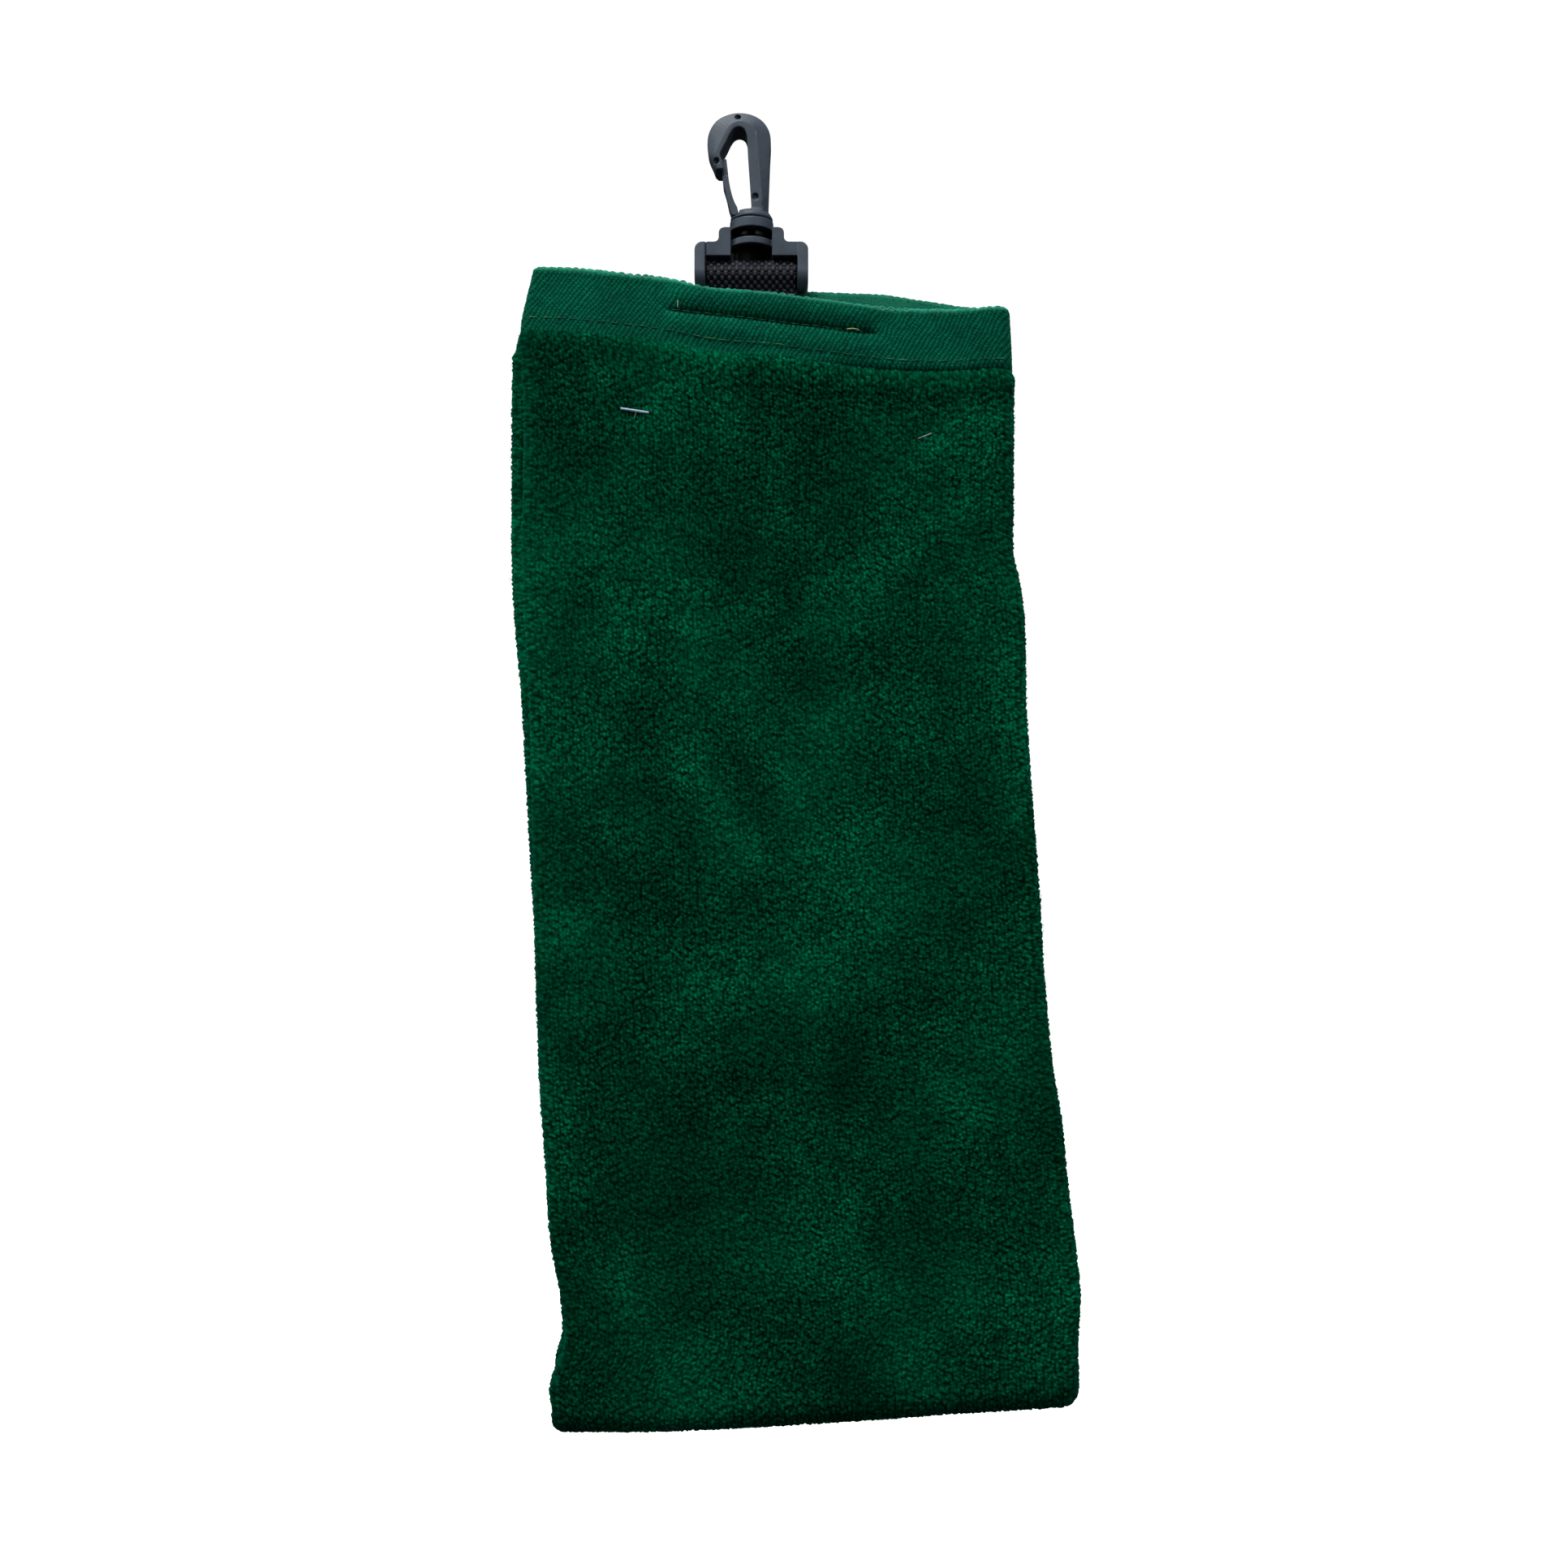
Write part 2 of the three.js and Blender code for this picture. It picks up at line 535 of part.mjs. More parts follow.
// The folded towel seen from the side, without the slit between its halves.
function foldProfile() {
  const profile = new THREE.Shape();
  profile.moveTo(FRONT_FACE_TOP_Y, ABOVE_TOWEL_Z);
  profile.lineTo(FRONT_FACE_TOP_Y, WEBBING_END_Z);
  profile.lineTo(FRONT_FACE_Y, SPREAD_END_Z);
  profile.lineTo(FRONT_FACE_Y, BOTTOM_FOLD_Z + FOLD_HEIGHT);
  const halfDepth = (BACK_FACE_Y - FRONT_FACE_Y) / 2;
  profile.absellipse(HALF_SLIT_Y, BOTTOM_FOLD_Z + FOLD_HEIGHT, halfDepth, FOLD_HEIGHT, Math.PI, 2 * Math.PI);
  profile.lineTo(BACK_FACE_Y, SPREAD_END_Z);
  profile.lineTo(BACK_FACE_TOP_Y, WEBBING_END_Z);
  profile.lineTo(BACK_FACE_TOP_Y, ABOVE_TOWEL_Z);
  return profile;
}

// A bar with a YZ outline, long enough to cross the cloth, turned to the slope of its fold.
function acrossCloth(shape) {
  return barYZ(shape, ACROSS_FROM_X, ACROSS_TO_X).rotate([0, -THREE.MathUtils.radToDeg(BOTTOM_SLOPE), 0]);
}

function clothParts() {
  const wholeDepth = [FRONT_FACE_TOP_Y - PAST, BACK_FACE_TOP_Y + PAST];
  const outline = plateXZ(clothOutline(), ...wholeDepth, OUTLINE_STEPS);
  const slitEnd = BOTTOM_FOLD_Z + FOLD_HEIGHT;
  const slit = acrossCloth(polygon([
    [HALF_SLIT_TOP_Y - HALF_SLIT / 2, ABOVE_TOWEL_Z + PAST],
    [HALF_SLIT_TOP_Y - HALF_SLIT / 2, SLIT_BEND_Z],
    [HALF_SLIT_Y - HALF_SLIT / 2, slitEnd],
    [HALF_SLIT_Y + HALF_SLIT / 2, slitEnd],
    [HALF_SLIT_TOP_Y + HALF_SLIT / 2, SLIT_BEND_Z],
    [HALF_SLIT_TOP_Y + HALF_SLIT / 2, ABOVE_TOWEL_Z + PAST],
  ]));
  const webbingPocket = block(
    SWIVEL_X - WEBBING_WIDTH / 2 - GAP, SWIVEL_X + WEBBING_WIDTH / 2 + GAP,
    -WEBBING_THICK - GAP, WEBBING_THICK + GAP,
    WEBBING_END_Z - GAP, ABOVE_TOWEL_Z,
  );
  const scoopReach = CHEEK_OUTSIDE + 2 * GAP;
  const scoop = rodX(
    CLOTH_SCOOP_RADIUS, SWIVEL_X - scoopReach, SWIVEL_X + scoopReach, 0, BAR_Z, BAR_SIDES,
  );
  const pinHoles = [PIN_LEFT, PIN_RIGHT].map(({ at: [x, z] }) => (
    rodY(PIN_SHAFT_RADIUS + GAP, ...wholeDepth, x, z, SHAFT_SIDES)
  ));
  const folded = outline.intersect(acrossCloth(foldProfile()))
    .subtract(joined([slit, webbingPocket, scoop, ...pinHoles]));

  const frontHalf = [wholeDepth[0], HALF_SLIT_TOP_Y];
  const backHalf = [HALF_SLIT_TOP_Y, wholeDepth[1]];
  const freeEndGone = plateXZ(topBand(-CUT_REACH, FREE_END_DROP), ...backHalf);
  const frontBand = plateXZ(topBand(-CUT_REACH, HEM_HEIGHT), ...frontHalf);
  const backBand = plateXZ(topBand(FREE_END_DROP, FREE_END_DROP + HEM_HEIGHT), ...backHalf);
  const hemSpace = joined([
    plateXZ(topBand(-CUT_REACH, HEM_HEIGHT + GAP), ...frontHalf),
    plateXZ(topBand(-CUT_REACH, FREE_END_DROP + HEM_HEIGHT + GAP), ...backHalf),
  ]);
  const kept = folded.subtract(freeEndGone);
  return {
    terry: kept.subtract(hemSpace),
    hookEndHem: kept.intersect(frontBand),
    freeEndHem: kept.intersect(backBand),
  };
}

// ---- Threads and tag pins -----------------------------------------------------------------

// A line of stitching that lies on the front or the back face, along a drop below the top edge.
function hemThread(drop, y) {
  const [left, middle, right] = TOP_EDGE;
  return strand([
    [left[0] + THREAD_INSET - LEFT_SIDE_SLOPE_INSET, y, left[1] - drop],
    [middle[0], y, middle[1] - drop],
    [right[0] - THREAD_INSET, y, right[1] - drop],
  ], THREAD_RADIUS, THREAD_STEPS);
}

function loopSeamThread() {
  const y = FRONT_FACE_TOP_Y - GAP - THREAD_RADIUS;
  const [from, to] = LOOP_SEAM;
  return strand([[from[0], y, from[1]], [to[0], y, to[1]]], THREAD_RADIUS);
}

// A nylon tag pin: a shaft through all the layers, with a bar at each end.
function tagPin({ at: [x, z], turn, length }) {
  const angle = THREE.MathUtils.degToRad(turn);
  const [reachX, reachZ] = [Math.cos(angle) * length / 2, Math.sin(angle) * length / 2];
  const frontY = FRONT_FACE_TOP_Y - GAP - PIN_BAR_RADIUS;
  const backY = BACK_FACE_TOP_Y + GAP + PIN_BAR_RADIUS;
  const bars = [frontY, backY].map((y) => (
    strand([[x - reachX, y, z - reachZ], [x + reachX, y, z + reachZ]], PIN_BAR_RADIUS)
  ));
  return joined([...bars, rodY(PIN_SHAFT_RADIUS, frontY, backY, x, z, SHAFT_SIDES)]);
}

// ---- Assembly -----------------------------------------------------------------------------

const cloth = clothParts();
const frontThreadY = FRONT_FACE_TOP_Y - GAP - THREAD_RADIUS;
const backThreadY = BACK_FACE_TOP_Y + GAP + THREAD_RADIUS;
const freeEndStitchDrop = FREE_END_DROP + HEM_STITCH_DROP;
const towel = new THREE.Group();
towel.add(
  mesh('hook_frame', hookFrame(), 'hookPlastic'),
  mesh('gate_leaf', gateLeaf(), 'hookPlastic'),
  mesh('yoke', yoke(), 'hookPlastic'),
  mesh('webbing_loop', webbingLoop(), 'webbing'),
  mesh('terry_cloth', cloth.terry, 'terry'),
  mesh('hook_end_hem', cloth.hookEndHem, 'hem'),
  mesh('free_end_hem', cloth.freeEndHem, 'hem'),
  mesh('hook_end_hem_thread', hemThread(HEM_STITCH_DROP, frontThreadY), 'thread'),
  mesh('free_end_hem_thread', hemThread(freeEndStitchDrop, backThreadY), 'thread'),
  mesh('loop_seam_thread', loopSeamThread(), 'thread'),
  mesh('tag_pin_left', tagPin(PIN_LEFT), 'nylon'),
  mesh('tag_pin_right', tagPin(PIN_RIGHT), 'nylon'),
);

export default towel;
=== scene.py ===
"""Golf towel on a swivel hook: the looks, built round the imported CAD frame.

Here shapes are worked out in millimetres and scaled once, when a mesh is made.
"""
import math

import bpy
import numpy as np
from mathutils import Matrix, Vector


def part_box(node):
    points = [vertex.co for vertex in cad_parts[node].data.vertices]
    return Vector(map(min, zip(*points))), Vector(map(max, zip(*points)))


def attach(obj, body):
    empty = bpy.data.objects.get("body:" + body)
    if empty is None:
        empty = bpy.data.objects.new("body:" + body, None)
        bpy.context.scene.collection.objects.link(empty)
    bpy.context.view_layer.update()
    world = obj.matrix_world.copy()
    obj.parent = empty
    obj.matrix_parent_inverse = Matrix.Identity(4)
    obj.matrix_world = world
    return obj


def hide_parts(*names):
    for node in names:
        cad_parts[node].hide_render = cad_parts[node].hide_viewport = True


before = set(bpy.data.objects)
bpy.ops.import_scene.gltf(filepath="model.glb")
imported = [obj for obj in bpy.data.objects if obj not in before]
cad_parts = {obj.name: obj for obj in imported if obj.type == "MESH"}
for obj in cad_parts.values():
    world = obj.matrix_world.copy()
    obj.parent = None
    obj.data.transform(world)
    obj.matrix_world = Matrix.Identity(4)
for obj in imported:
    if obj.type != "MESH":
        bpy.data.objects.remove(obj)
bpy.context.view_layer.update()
MM = 0.001


def node_box(node):
    """A CAD node's lowest and highest corners in millimetres."""
    low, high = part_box(node)
    return np.array(low) / MM, np.array(high) / MM


# ---- Driving dimensions, in millimetres ----------------------------------------------------

FLAT_WIDTH, FLAT_LENGTH = 406, 610  # the cloth before it is folded
LAYER = 2.8  # from one folded layer to the next
CLOTH_HALF = 1.15  # half the cloth's thickness, without the pile
HEM_HALF = 1.0
HEM_HEIGHT = 17
HALF_WIDTH = 67.7  # half the width of the folded towel
FOLD_ARC = 22  # length of cloth in the bottom fold, at any depth
LEFT_TURN = LAYER / 2  # radius where the left third turns under
RIGHT_TURN = LAYER  # and the right third, which lies behind it
FLAP_SHORT = 4  # how far a folded third stops short of the other side
FLAP_SEEN = 5  # how far the fine mesh goes on behind each turn
FLAP_STEP = 10  # spacing where the folded thirds are out of sight
COARSE = 4  # fine mesh steps to one step of a sheet's plain inner face

TERRY_STEP = 0.38  # the mesh's spacing
TUFT_PITCH = 1.02  # from one tuft of the pile to the next
TUFT_RADIUS = 0.57
TUFT_HEIGHT = 0.66
HEM_STEP = 0.23
FLOAT_LENGTH, FLOAT_ROW = 1.35, 0.66  # the hem weave's floats, and from one row of them to the next
FLOAT_SHIFT = 0.3  # from row to row, as a share of a float: the floats' ends line up on diagonals
FLOAT_HEIGHT = 0.17
SCALLOP_PITCH = 2.2  # of the overlocked edge
THREAD_RADIUS = 0.12

MIDDLE_TOP_Y, MIDDLE_BOTTOM_Y = 7.4, 5.0  # between the towel's halves, at the top and the bottom
MIDDLE_BEND_Z, MIDDLE_END_Z = -80, -338
FREE_END_DROP = 1.5  # how far the back half's end stops below the front's

WEBBING_LOW, WEBBING_HIGH = node_box("webbing_loop")
SWIVEL_X = (WEBBING_LOW[0] + WEBBING_HIGH[0]) / 2
WEBBING_WIDTH = WEBBING_HIGH[0] - WEBBING_LOW[0]
WEBBING_END_Z = WEBBING_LOW[2]
WEBBING_THICK = 1.3
ROLL_RADIUS = (WEBBING_HIGH[1] - WEBBING_LOW[1]) / 2 - WEBBING_THICK / 2  # to the tape's middle
BAR_Z = WEBBING_HIGH[2] - ROLL_RADIUS - WEBBING_THICK / 2
WEBBING_STEP = 0.17
NUB_PITCH, NUB_ROW = 1.95, 1.08
NUB_HEIGHT = 0.42
WEBBING_SPARE = 0.27  # how far each edge comes out past the CAD tape, towards the cheek

# Outlines of the folded towel: its sides as [z, x] and its top and bottom edges as [x, z].
# They are set here and not read from the frame.
LEFT_EDGE = [(-36, -56.6), (-44, -59.9), (-51, -62.5), (-60, -63.5), (-80, -63.8), (-130, -63.0),
             (-150, -61.2), (-183, -59.5), (-240, -55.9), (-262, -54.5), (-285, -52.4), (-300, -51.9),
             (-313, -51.3), (-324, -50.1), (-334, -49.7), (-342, -51.6), (-350, -50.8)]
RIGHT_EDGE = [(-48.9, 73.2), (-60, 73.8), (-104, 74.0), (-116, 74.0), (-126, 76.0), (-161, 77.6),
              (-216, 81.2), (-245, 82.9), (-262, 84.8), (-272, 86.5), (-300, 89.4), (-312, 90.8),
              (-324, 91.7), (-338, 91.0), (-347, 91.2)]
TOP_EDGE = [(-56, -36.4), (-44, -37.0), (-35, -38.0), (-18.4, -40.4), (-6.8, -42.9), (10, -44.2),
            (23, -46.0), (45, -48.1), (58, -48.0), (70, -47.3), (74, -47.8)]
BOTTOM_EDGE = [(-49, -351.4), (-20, -351.2), (30, -348.4), (70, -345.4), (89.5, -344)]
# How far the front half's left fold lies inside the back half's, as [z, distance].
FRONT_INSET = [(-36, 0.6), (-46, 2.4), (-63, 4.7), (-117, 4.7), (-183, 3.2), (-248, 0.8), (-300, 0.3),
               (-328, 2.6), (-338, 1.4), (-346, 0.0)]
# How much higher than the front the right third lies, as [share of the width, distance].
FLAP_RISE = [(0.0, -1.2), (0.42, 0.3), (0.55, 4.0), (0.62, 4.9), (0.7, 5.8), (0.8, 5.2), (0.92, 2.3),
             (1.0, 0.5)]

LOOP_SEAM = ((-18.3, -48.5), (35.6, -54.6))
STITCH_DROP = 13.7  # of the hem's stitching below the top edge
STITCH_FROM_X, STITCH_TO_X = -57, 71
HEM_STITCH, HEM_STITCH_PITCH = 3.0, 3.7
LOOP_STITCH, LOOP_STITCH_PITCH = 2.4, 2.9
PINS = (  # place on the front face, tilt, the bar's length and radius, how far it is sunk in the pile
    {"name": "tag_pin_left", "x": -28.1, "z": -75.2, "tilt": -8.5,
     "length": 7.7, "radius": 0.36, "sunk": 0.1},
    {"name": "tag_pin_right", "x": 49.3, "z": -81.9, "tilt": 21,
     "length": 6.6, "radius": 0.27, "sunk": 0.66},
)

CAMERA_AT = (11.8, -400, -175)
LENS, SENSOR = 34.14, 36

random = np.random.default_rng(20)


# ---- Curves, noise and meshes --------------------------------------------------------------

def smooth(points, at):
    """A smooth curve through [place, value] points."""
    place, value = np.array(sorted(points), float).T
    slope = np.gradient(value, place)
    at = np.clip(at, place[0], place[-1])
    i = np.clip(np.searchsorted(place, at) - 1, 0, len(place) - 2)
    gap = place[i + 1] - place[i]
    t = (at - place[i]) / gap
    return ((2 * t**3 - 3 * t**2 + 1) * value[i] + (t**3 - 2 * t**2 + t) * gap * slope[i]
            + (3 * t**2 - 2 * t**3) * value[i + 1] + (t**3 - t**2) * gap * slope[i + 1])


def ease(start, end, at):
    """From 0 at start to 1 at end, smoothly; start may be the larger."""
    t = np.clip((at - start) / (end - start), 0, 1)
    return t * t * (3 - 2 * t)


def bell(distance, width):
    return np.exp(-(distance / width) ** 2)


def ripple(a, b, cell, seed):
    """Smooth noise from -1 to 1 over a grid of places, with features about one cell wide."""
    size = 64
    lattice = np.random.default_rng(seed).uniform(-1, 1, (size, size))
    a, b = a / cell, b / cell
    i, j = np.floor(a).astype(int), np.floor(b).astype(int)
    fa, fb = ease(0, 1, a - i), ease(0, 1, b - j)
    i, j = i % size, j % size
    i1, j1 = (i + 1) % size, (j + 1) % size
    near = lattice[i, j] * (1 - fa) + lattice[i1, j] * fa
    far = lattice[i, j1] * (1 - fa) + lattice[i1, j1] * fa
    return near * (1 - fb) + far * fb


def unit(v):
    return v / np.maximum(np.linalg.norm(v, axis=-1, keepdims=True), 1e-9)


def mesh_object(name, points, faces):
    """A new smooth-shaded object from points in millimetres."""
    data = bpy.data.meshes.new(name)
    data.from_pydata((np.asarray(points) * MM).tolist(), [], faces)
    data.polygons.foreach_set("use_smooth", [True] * len(data.polygons))
    data.update()
    made = bpy.data.objects.new(name, data)
    bpy.context.scene.collection.objects.link(made)
    return made


def even_steps(start, end, spacing):
    """Places from start to end about one spacing apart, in a whole number of COARSE steps."""
    count = max(1, round((end - start) / spacing / COARSE)) * COARSE
    return np.linspace(start, end, count + 1)


class Sheet:
    """A closed sheet about a grid of points: a fine outer face raised by height, a plain inner one.

    The outer face is on the side that the first direction crossed with the second points to.
    Each attribute is a grid of numbers that the sheet's material reads.
    """

    def __init__(self, name, middle, half, height, **attributes):
        rows, columns = middle.shape[:2]
        self.normals = unit(np.cross(np.gradient(middle, axis=0), np.gradient(middle, axis=1)))
        self.points = middle + self.normals * (half + height)[..., None]
        inner = (middle - self.normals * half)[::COARSE, ::COARSE]
        inner_count = inner.shape[0] * inner.shape[1]
        fine = np.arange(rows * columns).reshape(rows, columns)
        plain = np.arange(inner_count).reshape(inner.shape[:2]) + rows * columns
        faces = self.quads(fine, False) + self.quads(plain, True)
        faces += self.rim(fine[0], plain[0], True) + self.rim(fine[-1], plain[-1], False)
        faces += self.rim(fine[:, 0], plain[:, 0], False) + self.rim(fine[:, -1], plain[:, -1], True)
        points = np.concatenate([self.points.reshape(-1, 3), inner.reshape(-1, 3)])
        self.object = mesh_object(name, points, faces)
        for key, grid in attributes.items():
            values = np.concatenate([grid.reshape(-1), np.full(inner_count, 0.5)]).astype(np.float32)
            self.object.data.attributes.new(key, "FLOAT", "POINT").data.foreach_set("value", values)

    @staticmethod
    def quads(index, inside_out):
        corners = [index[:-1, :-1], index[1:, :-1], index[1:, 1:], index[:-1, 1:]]
        return np.stack(corners[::-1] if inside_out else corners, axis=-1).reshape(-1, 4).tolist()

    @staticmethod
    def rim(fine, plain, forward):
        faces = []
        for k in range(len(plain) - 1):
            loop = fine[k * COARSE:(k + 1) * COARSE + 1].tolist() + [int(plain[k + 1]), int(plain[k])]
            faces.append(loop if forward else loop[::-1])
        return faces

    def face_y(self, toward, x, z, reach=0.9):
        """The y of the outer face at a place seen from the front (-1) or the back (+1)."""
        near = (np.abs(self.points[..., 0] - x) < reach) & (np.abs(self.points[..., 2] - z) < reach)
        return (self.points[..., 1][near] * toward).max() * toward if near.any() else None


def tube(path, radius, sides=8):
    """Points and faces of a closed round tube along a path; radius may change along it."""
    path = np.asarray(path, float)
    ahead = unit(np.gradient(path, axis=0))
    side = unit(np.cross(ahead, [0.21, 0.93, 0.31]))
    up = np.cross(side, ahead)
    angle = np.arange(sides) * 2 * math.pi / sides
    radii = np.broadcast_to(radius, len(path))[:, None, None]
    ring = np.cos(angle)[:, None] * side[:, None] + np.sin(angle)[:, None] * up[:, None]
    points = (path[:, None] + ring * radii).reshape(-1, 3)
    faces = []
    for k in range(len(path) - 1):
        for s in range(sides):
            a, b = k * sides + s, k * sides + (s + 1) % sides
            faces.append([a, b, b + sides, a + sides])
    faces.append(list(range(sides))[::-1])
    faces.append([(len(path) - 1) * sides + s for s in range(sides)])
    return points, faces


def merged(name, parts):
    """One object from many (points, faces) shapes."""
    points, faces, count = [], [], 0
    for part_points, part_faces in parts:
        faces += [[v + count for v in face] for face in part_faces]
        points.append(part_points)
        count += len(part_points)
    return mesh_object(name, np.concatenate(points), faces)


# ---- The folded towel ----------------------------------------------------------------------

def across_fold(step, flap_step):
    """Places across the folded thirds: x from the middle, depth behind the front, distance along.

    From the left third's free edge, round the left turn, over the front, round the right turn and
    back to the right third's free edge.
    """
    left_centre, right_centre = LEFT_TURN - HALF_WIDTH, HALF_WIDTH - RIGHT_TURN
    turn = np.linspace(math.pi / 2, -math.pi / 2, 60)
    path = np.concatenate([
        [(HALF_WIDTH - FLAP_SHORT, 2 * LEFT_TURN)],
        np.stack([left_centre - LEFT_TURN * np.cos(turn), LEFT_TURN + LEFT_TURN * np.sin(turn)], 1),
        np.stack([right_centre + RIGHT_TURN * np.cos(turn), RIGHT_TURN - RIGHT_TURN * np.sin(turn)], 1),
        [(FLAP_SHORT - HALF_WIDTH, 2 * RIGHT_TURN)],
    ])
    along = np.concatenate([[0], np.cumsum(np.linalg.norm(np.diff(path, axis=0), axis=1))])
    fine_from, fine_to = along[1] - FLAP_SEEN, along[-2] + FLAP_SEEN
    places = np.concatenate([
        even_steps(0, fine_from, flap_step)[:-1],
        even_steps(fine_from, fine_to, step),
        even_steps(fine_to, along[-1], flap_step)[1:],
    ])
    return np.interp(places, along, path[:, 0]), np.interp(places, along, path[:, 1]), places


class Fold:
    """The folded cloth's middle surface over a grid of places down its length and across it."""

    def __init__(self, rows, step, flap_step):
        across, depth, along = across_fold(step, flap_step)
        self.down, self.along = np.meshgrid(rows, along, indexing="ij")
        self.depth = np.broadcast_to(depth, self.down.shape)
        self.share = np.broadcast_to((across / HALF_WIDTH + 1) / 2, self.down.shape)
        straight = (FLAT_LENGTH - FOLD_ARC) / 2
        turn = np.clip((self.down - straight) / FOLD_ARC, 0, 1) * math.pi
        self.is_back = self.down > FLAT_LENGTH / 2
        self.facing_front = (1 + np.cos(turn)) / 2
        self.reach = np.clip(np.minimum(self.down, FLAT_LENGTH - self.down) / straight, 0, 1)
        self.middle = self.laid(turn)

    def laid(self, turn):
        x = self.sideways()
        from_middle = self.depth - 2.5 * LAYER
        fold_z = smooth(BOTTOM_EDGE, x) + 2.5 * LAYER + CLOTH_HALF + TUFT_HEIGHT
        top_z = smooth(TOP_EDGE, x) - self.is_back * FREE_END_DROP
        z = top_z + (fold_z - top_z) * self.reach - np.abs(from_middle) * np.sin(turn)
        lean = np.clip((z - MIDDLE_BEND_Z) / (MIDDLE_END_Z - MIDDLE_BEND_Z), 0, 1)
        y = MIDDLE_TOP_Y + (MIDDLE_BOTTOM_Y - MIDDLE_TOP_Y) * lean + from_middle * np.cos(turn)
        return np.stack([x, y + self.bulge(x, z), z + self.flap_skew()], axis=-1)

    def sideways(self):
        """x, between the outline's sides."""
        edge_in = CLOTH_HALF + TUFT_HEIGHT / 2
        left_z = LEFT_EDGE[0][0] + (LEFT_EDGE[-1][0] - LEFT_EDGE[0][0]) * self.reach
        right_z = RIGHT_EDGE[0][0] + (RIGHT_EDGE[-1][0] - RIGHT_EDGE[0][0]) * self.reach
        left = smooth(LEFT_EDGE, left_z) + edge_in + smooth(FRONT_INSET, left_z) * self.facing_front
        right = smooth(RIGHT_EDGE, right_z) - edge_in
        return left + (right - left) * self.share

    def bulge(self, x, z):
        """How far the cloth stands off its flat place, towards the back."""
        face = self.facing_front * ease(LAYER, 0, self.depth)  # 1 on the front third alone
        off = 0.9 * ripple(x, z, 46, 1) * ease(-44, -90, z) + 0.35 * ripple(x, z, 17, 2)
        off = off - 1.4 * face * ease(-120, -50, z)
        off = off - 1.9 * face * ease(60, 14, np.abs(x - SWIVEL_X)) * ease(-104, -60, z)
        (from_x, from_z), (to_x, to_z) = LOOP_SEAM
        along = (x - from_x) / (to_x - from_x)
        above = z - (from_z + (to_z - from_z) * along)
        in_seam = ease(-0.06, 0.05, along) * ease(1.05, 0.95, along) * face
        crease = 2.0 * bell(above, 0.9) - 1.0 * bell(above - 4.2, 2.6) - 0.5 * bell(above + 4, 2.2)
        off = off + in_seam * crease
        below_hem = np.minimum(self.down, FLAT_LENGTH - self.down) - HEM_HEIGHT
        lip = 0.35 + 0.65 * ease(0.28, 0.6, self.share)
        off = off - face * lip * bell(below_hem - 4.4, 3.6)
        off = off + 1.9 * face * ease(0.56, 0.72, self.share) * bell(below_hem, 1.1)
        for pin in PINS:
            off = off + 1.1 * bell(np.hypot(x - pin["x"], z - pin["z"]), 5) * face
        return off

    def flap_skew(self):
        """The right third lies a little higher than the front, more so towards the middle."""
        behind = ease(LAYER, 2 * LAYER, self.depth) * (self.share > 0)
        return behind * smooth(FLAP_RISE, self.share) * ease(60, 0, self.down) * (self.down < FLAT_LENGTH / 2)


def tufts(along, down):
    """The pile over the cloth: each place's height, 0 in a gap to 1 on a crown, and its tuft's tone."""
    table = np.random.default_rng(7).uniform(-1, 1, (4, 512, 512))
    u, v = along / TUFT_PITCH, down / TUFT_PITCH
    i, j = np.floor(u).astype(int), np.floor(v).astype(int)
    height, tone = np.zeros(u.shape), np.zeros(u.shape)
    for di in (-1, 0, 1):
        stagger = 0.5 * ((i + di) % 2)
        for dj in (-1, 0, 1):
            move_u, move_v, tall, shade = table[:, (i + di) % 512, (j + dj) % 512]
            away_v = v - (j + dj + stagger + 0.25 + 0.3 * move_v)
            away = np.hypot(u - (i + di + 0.5 + 0.28 * move_u), away_v)
            dome = np.clip(1 - (away * TUFT_PITCH / TUFT_RADIUS) ** 2, 0, 1) ** 0.7 * (0.75 + 0.25 * tall)
            tone = np.where(dome > height, shade, tone)
            height = np.maximum(height, dome)
    return height, 0.5 + 0.5 * tone


def terry_cloth():
    rows = even_steps(HEM_HEIGHT - 0.6, FLAT_LENGTH - HEM_HEIGHT + 0.6, TERRY_STEP)
    fold = Fold(rows, TERRY_STEP, FLAP_STEP)
    crown, tone = tufts(fold.along, fold.down)
    fray = random.uniform(-0.1, 0.1, crown.shape)
    lip = 0.3 * ease(HEM_HEIGHT + 6, HEM_HEIGHT + 2, np.minimum(fold.down, FLAT_LENGTH - fold.down))
    end = ease(HEM_HEIGHT - 0.6, HEM_HEIGHT + 1.5, np.minimum(fold.down, FLAT_LENGTH - fold.down))
    height = (crown * TUFT_HEIGHT + fray + lip) * end
    return Sheet("towel_cloth", fold.middle, CLOTH_HALF, height, crown=crown, tone=tone)


def floats(along, down):
    """The hem's twill: each place's height, 0 between floats to 1 on one, and its float's tone."""
    tone = np.random.default_rng(11).uniform(0, 1, (256, 256))
    down = down + 0.34 * ripple(along, down, 4.5, 13) + 0.14 * ripple(along, down, 1.6, 14)
    row = np.floor(down / FLOAT_ROW).astype(int)
    across = along / FLOAT_LENGTH + FLOAT_SHIFT * row + 0.3 * ripple(along, down, 2.6, 12)
    item = np.floor(across).astype(int)
    from_end = np.minimum(across - item, item + 1 - across) * FLOAT_LENGTH
    from_side = np.abs(down / FLOAT_ROW - row - 0.5) * 2
    height = ease(0, 0.42, from_end) * (1 - 0.55 * from_side ** 3)
    return height, tone[item % 256, row % 256]


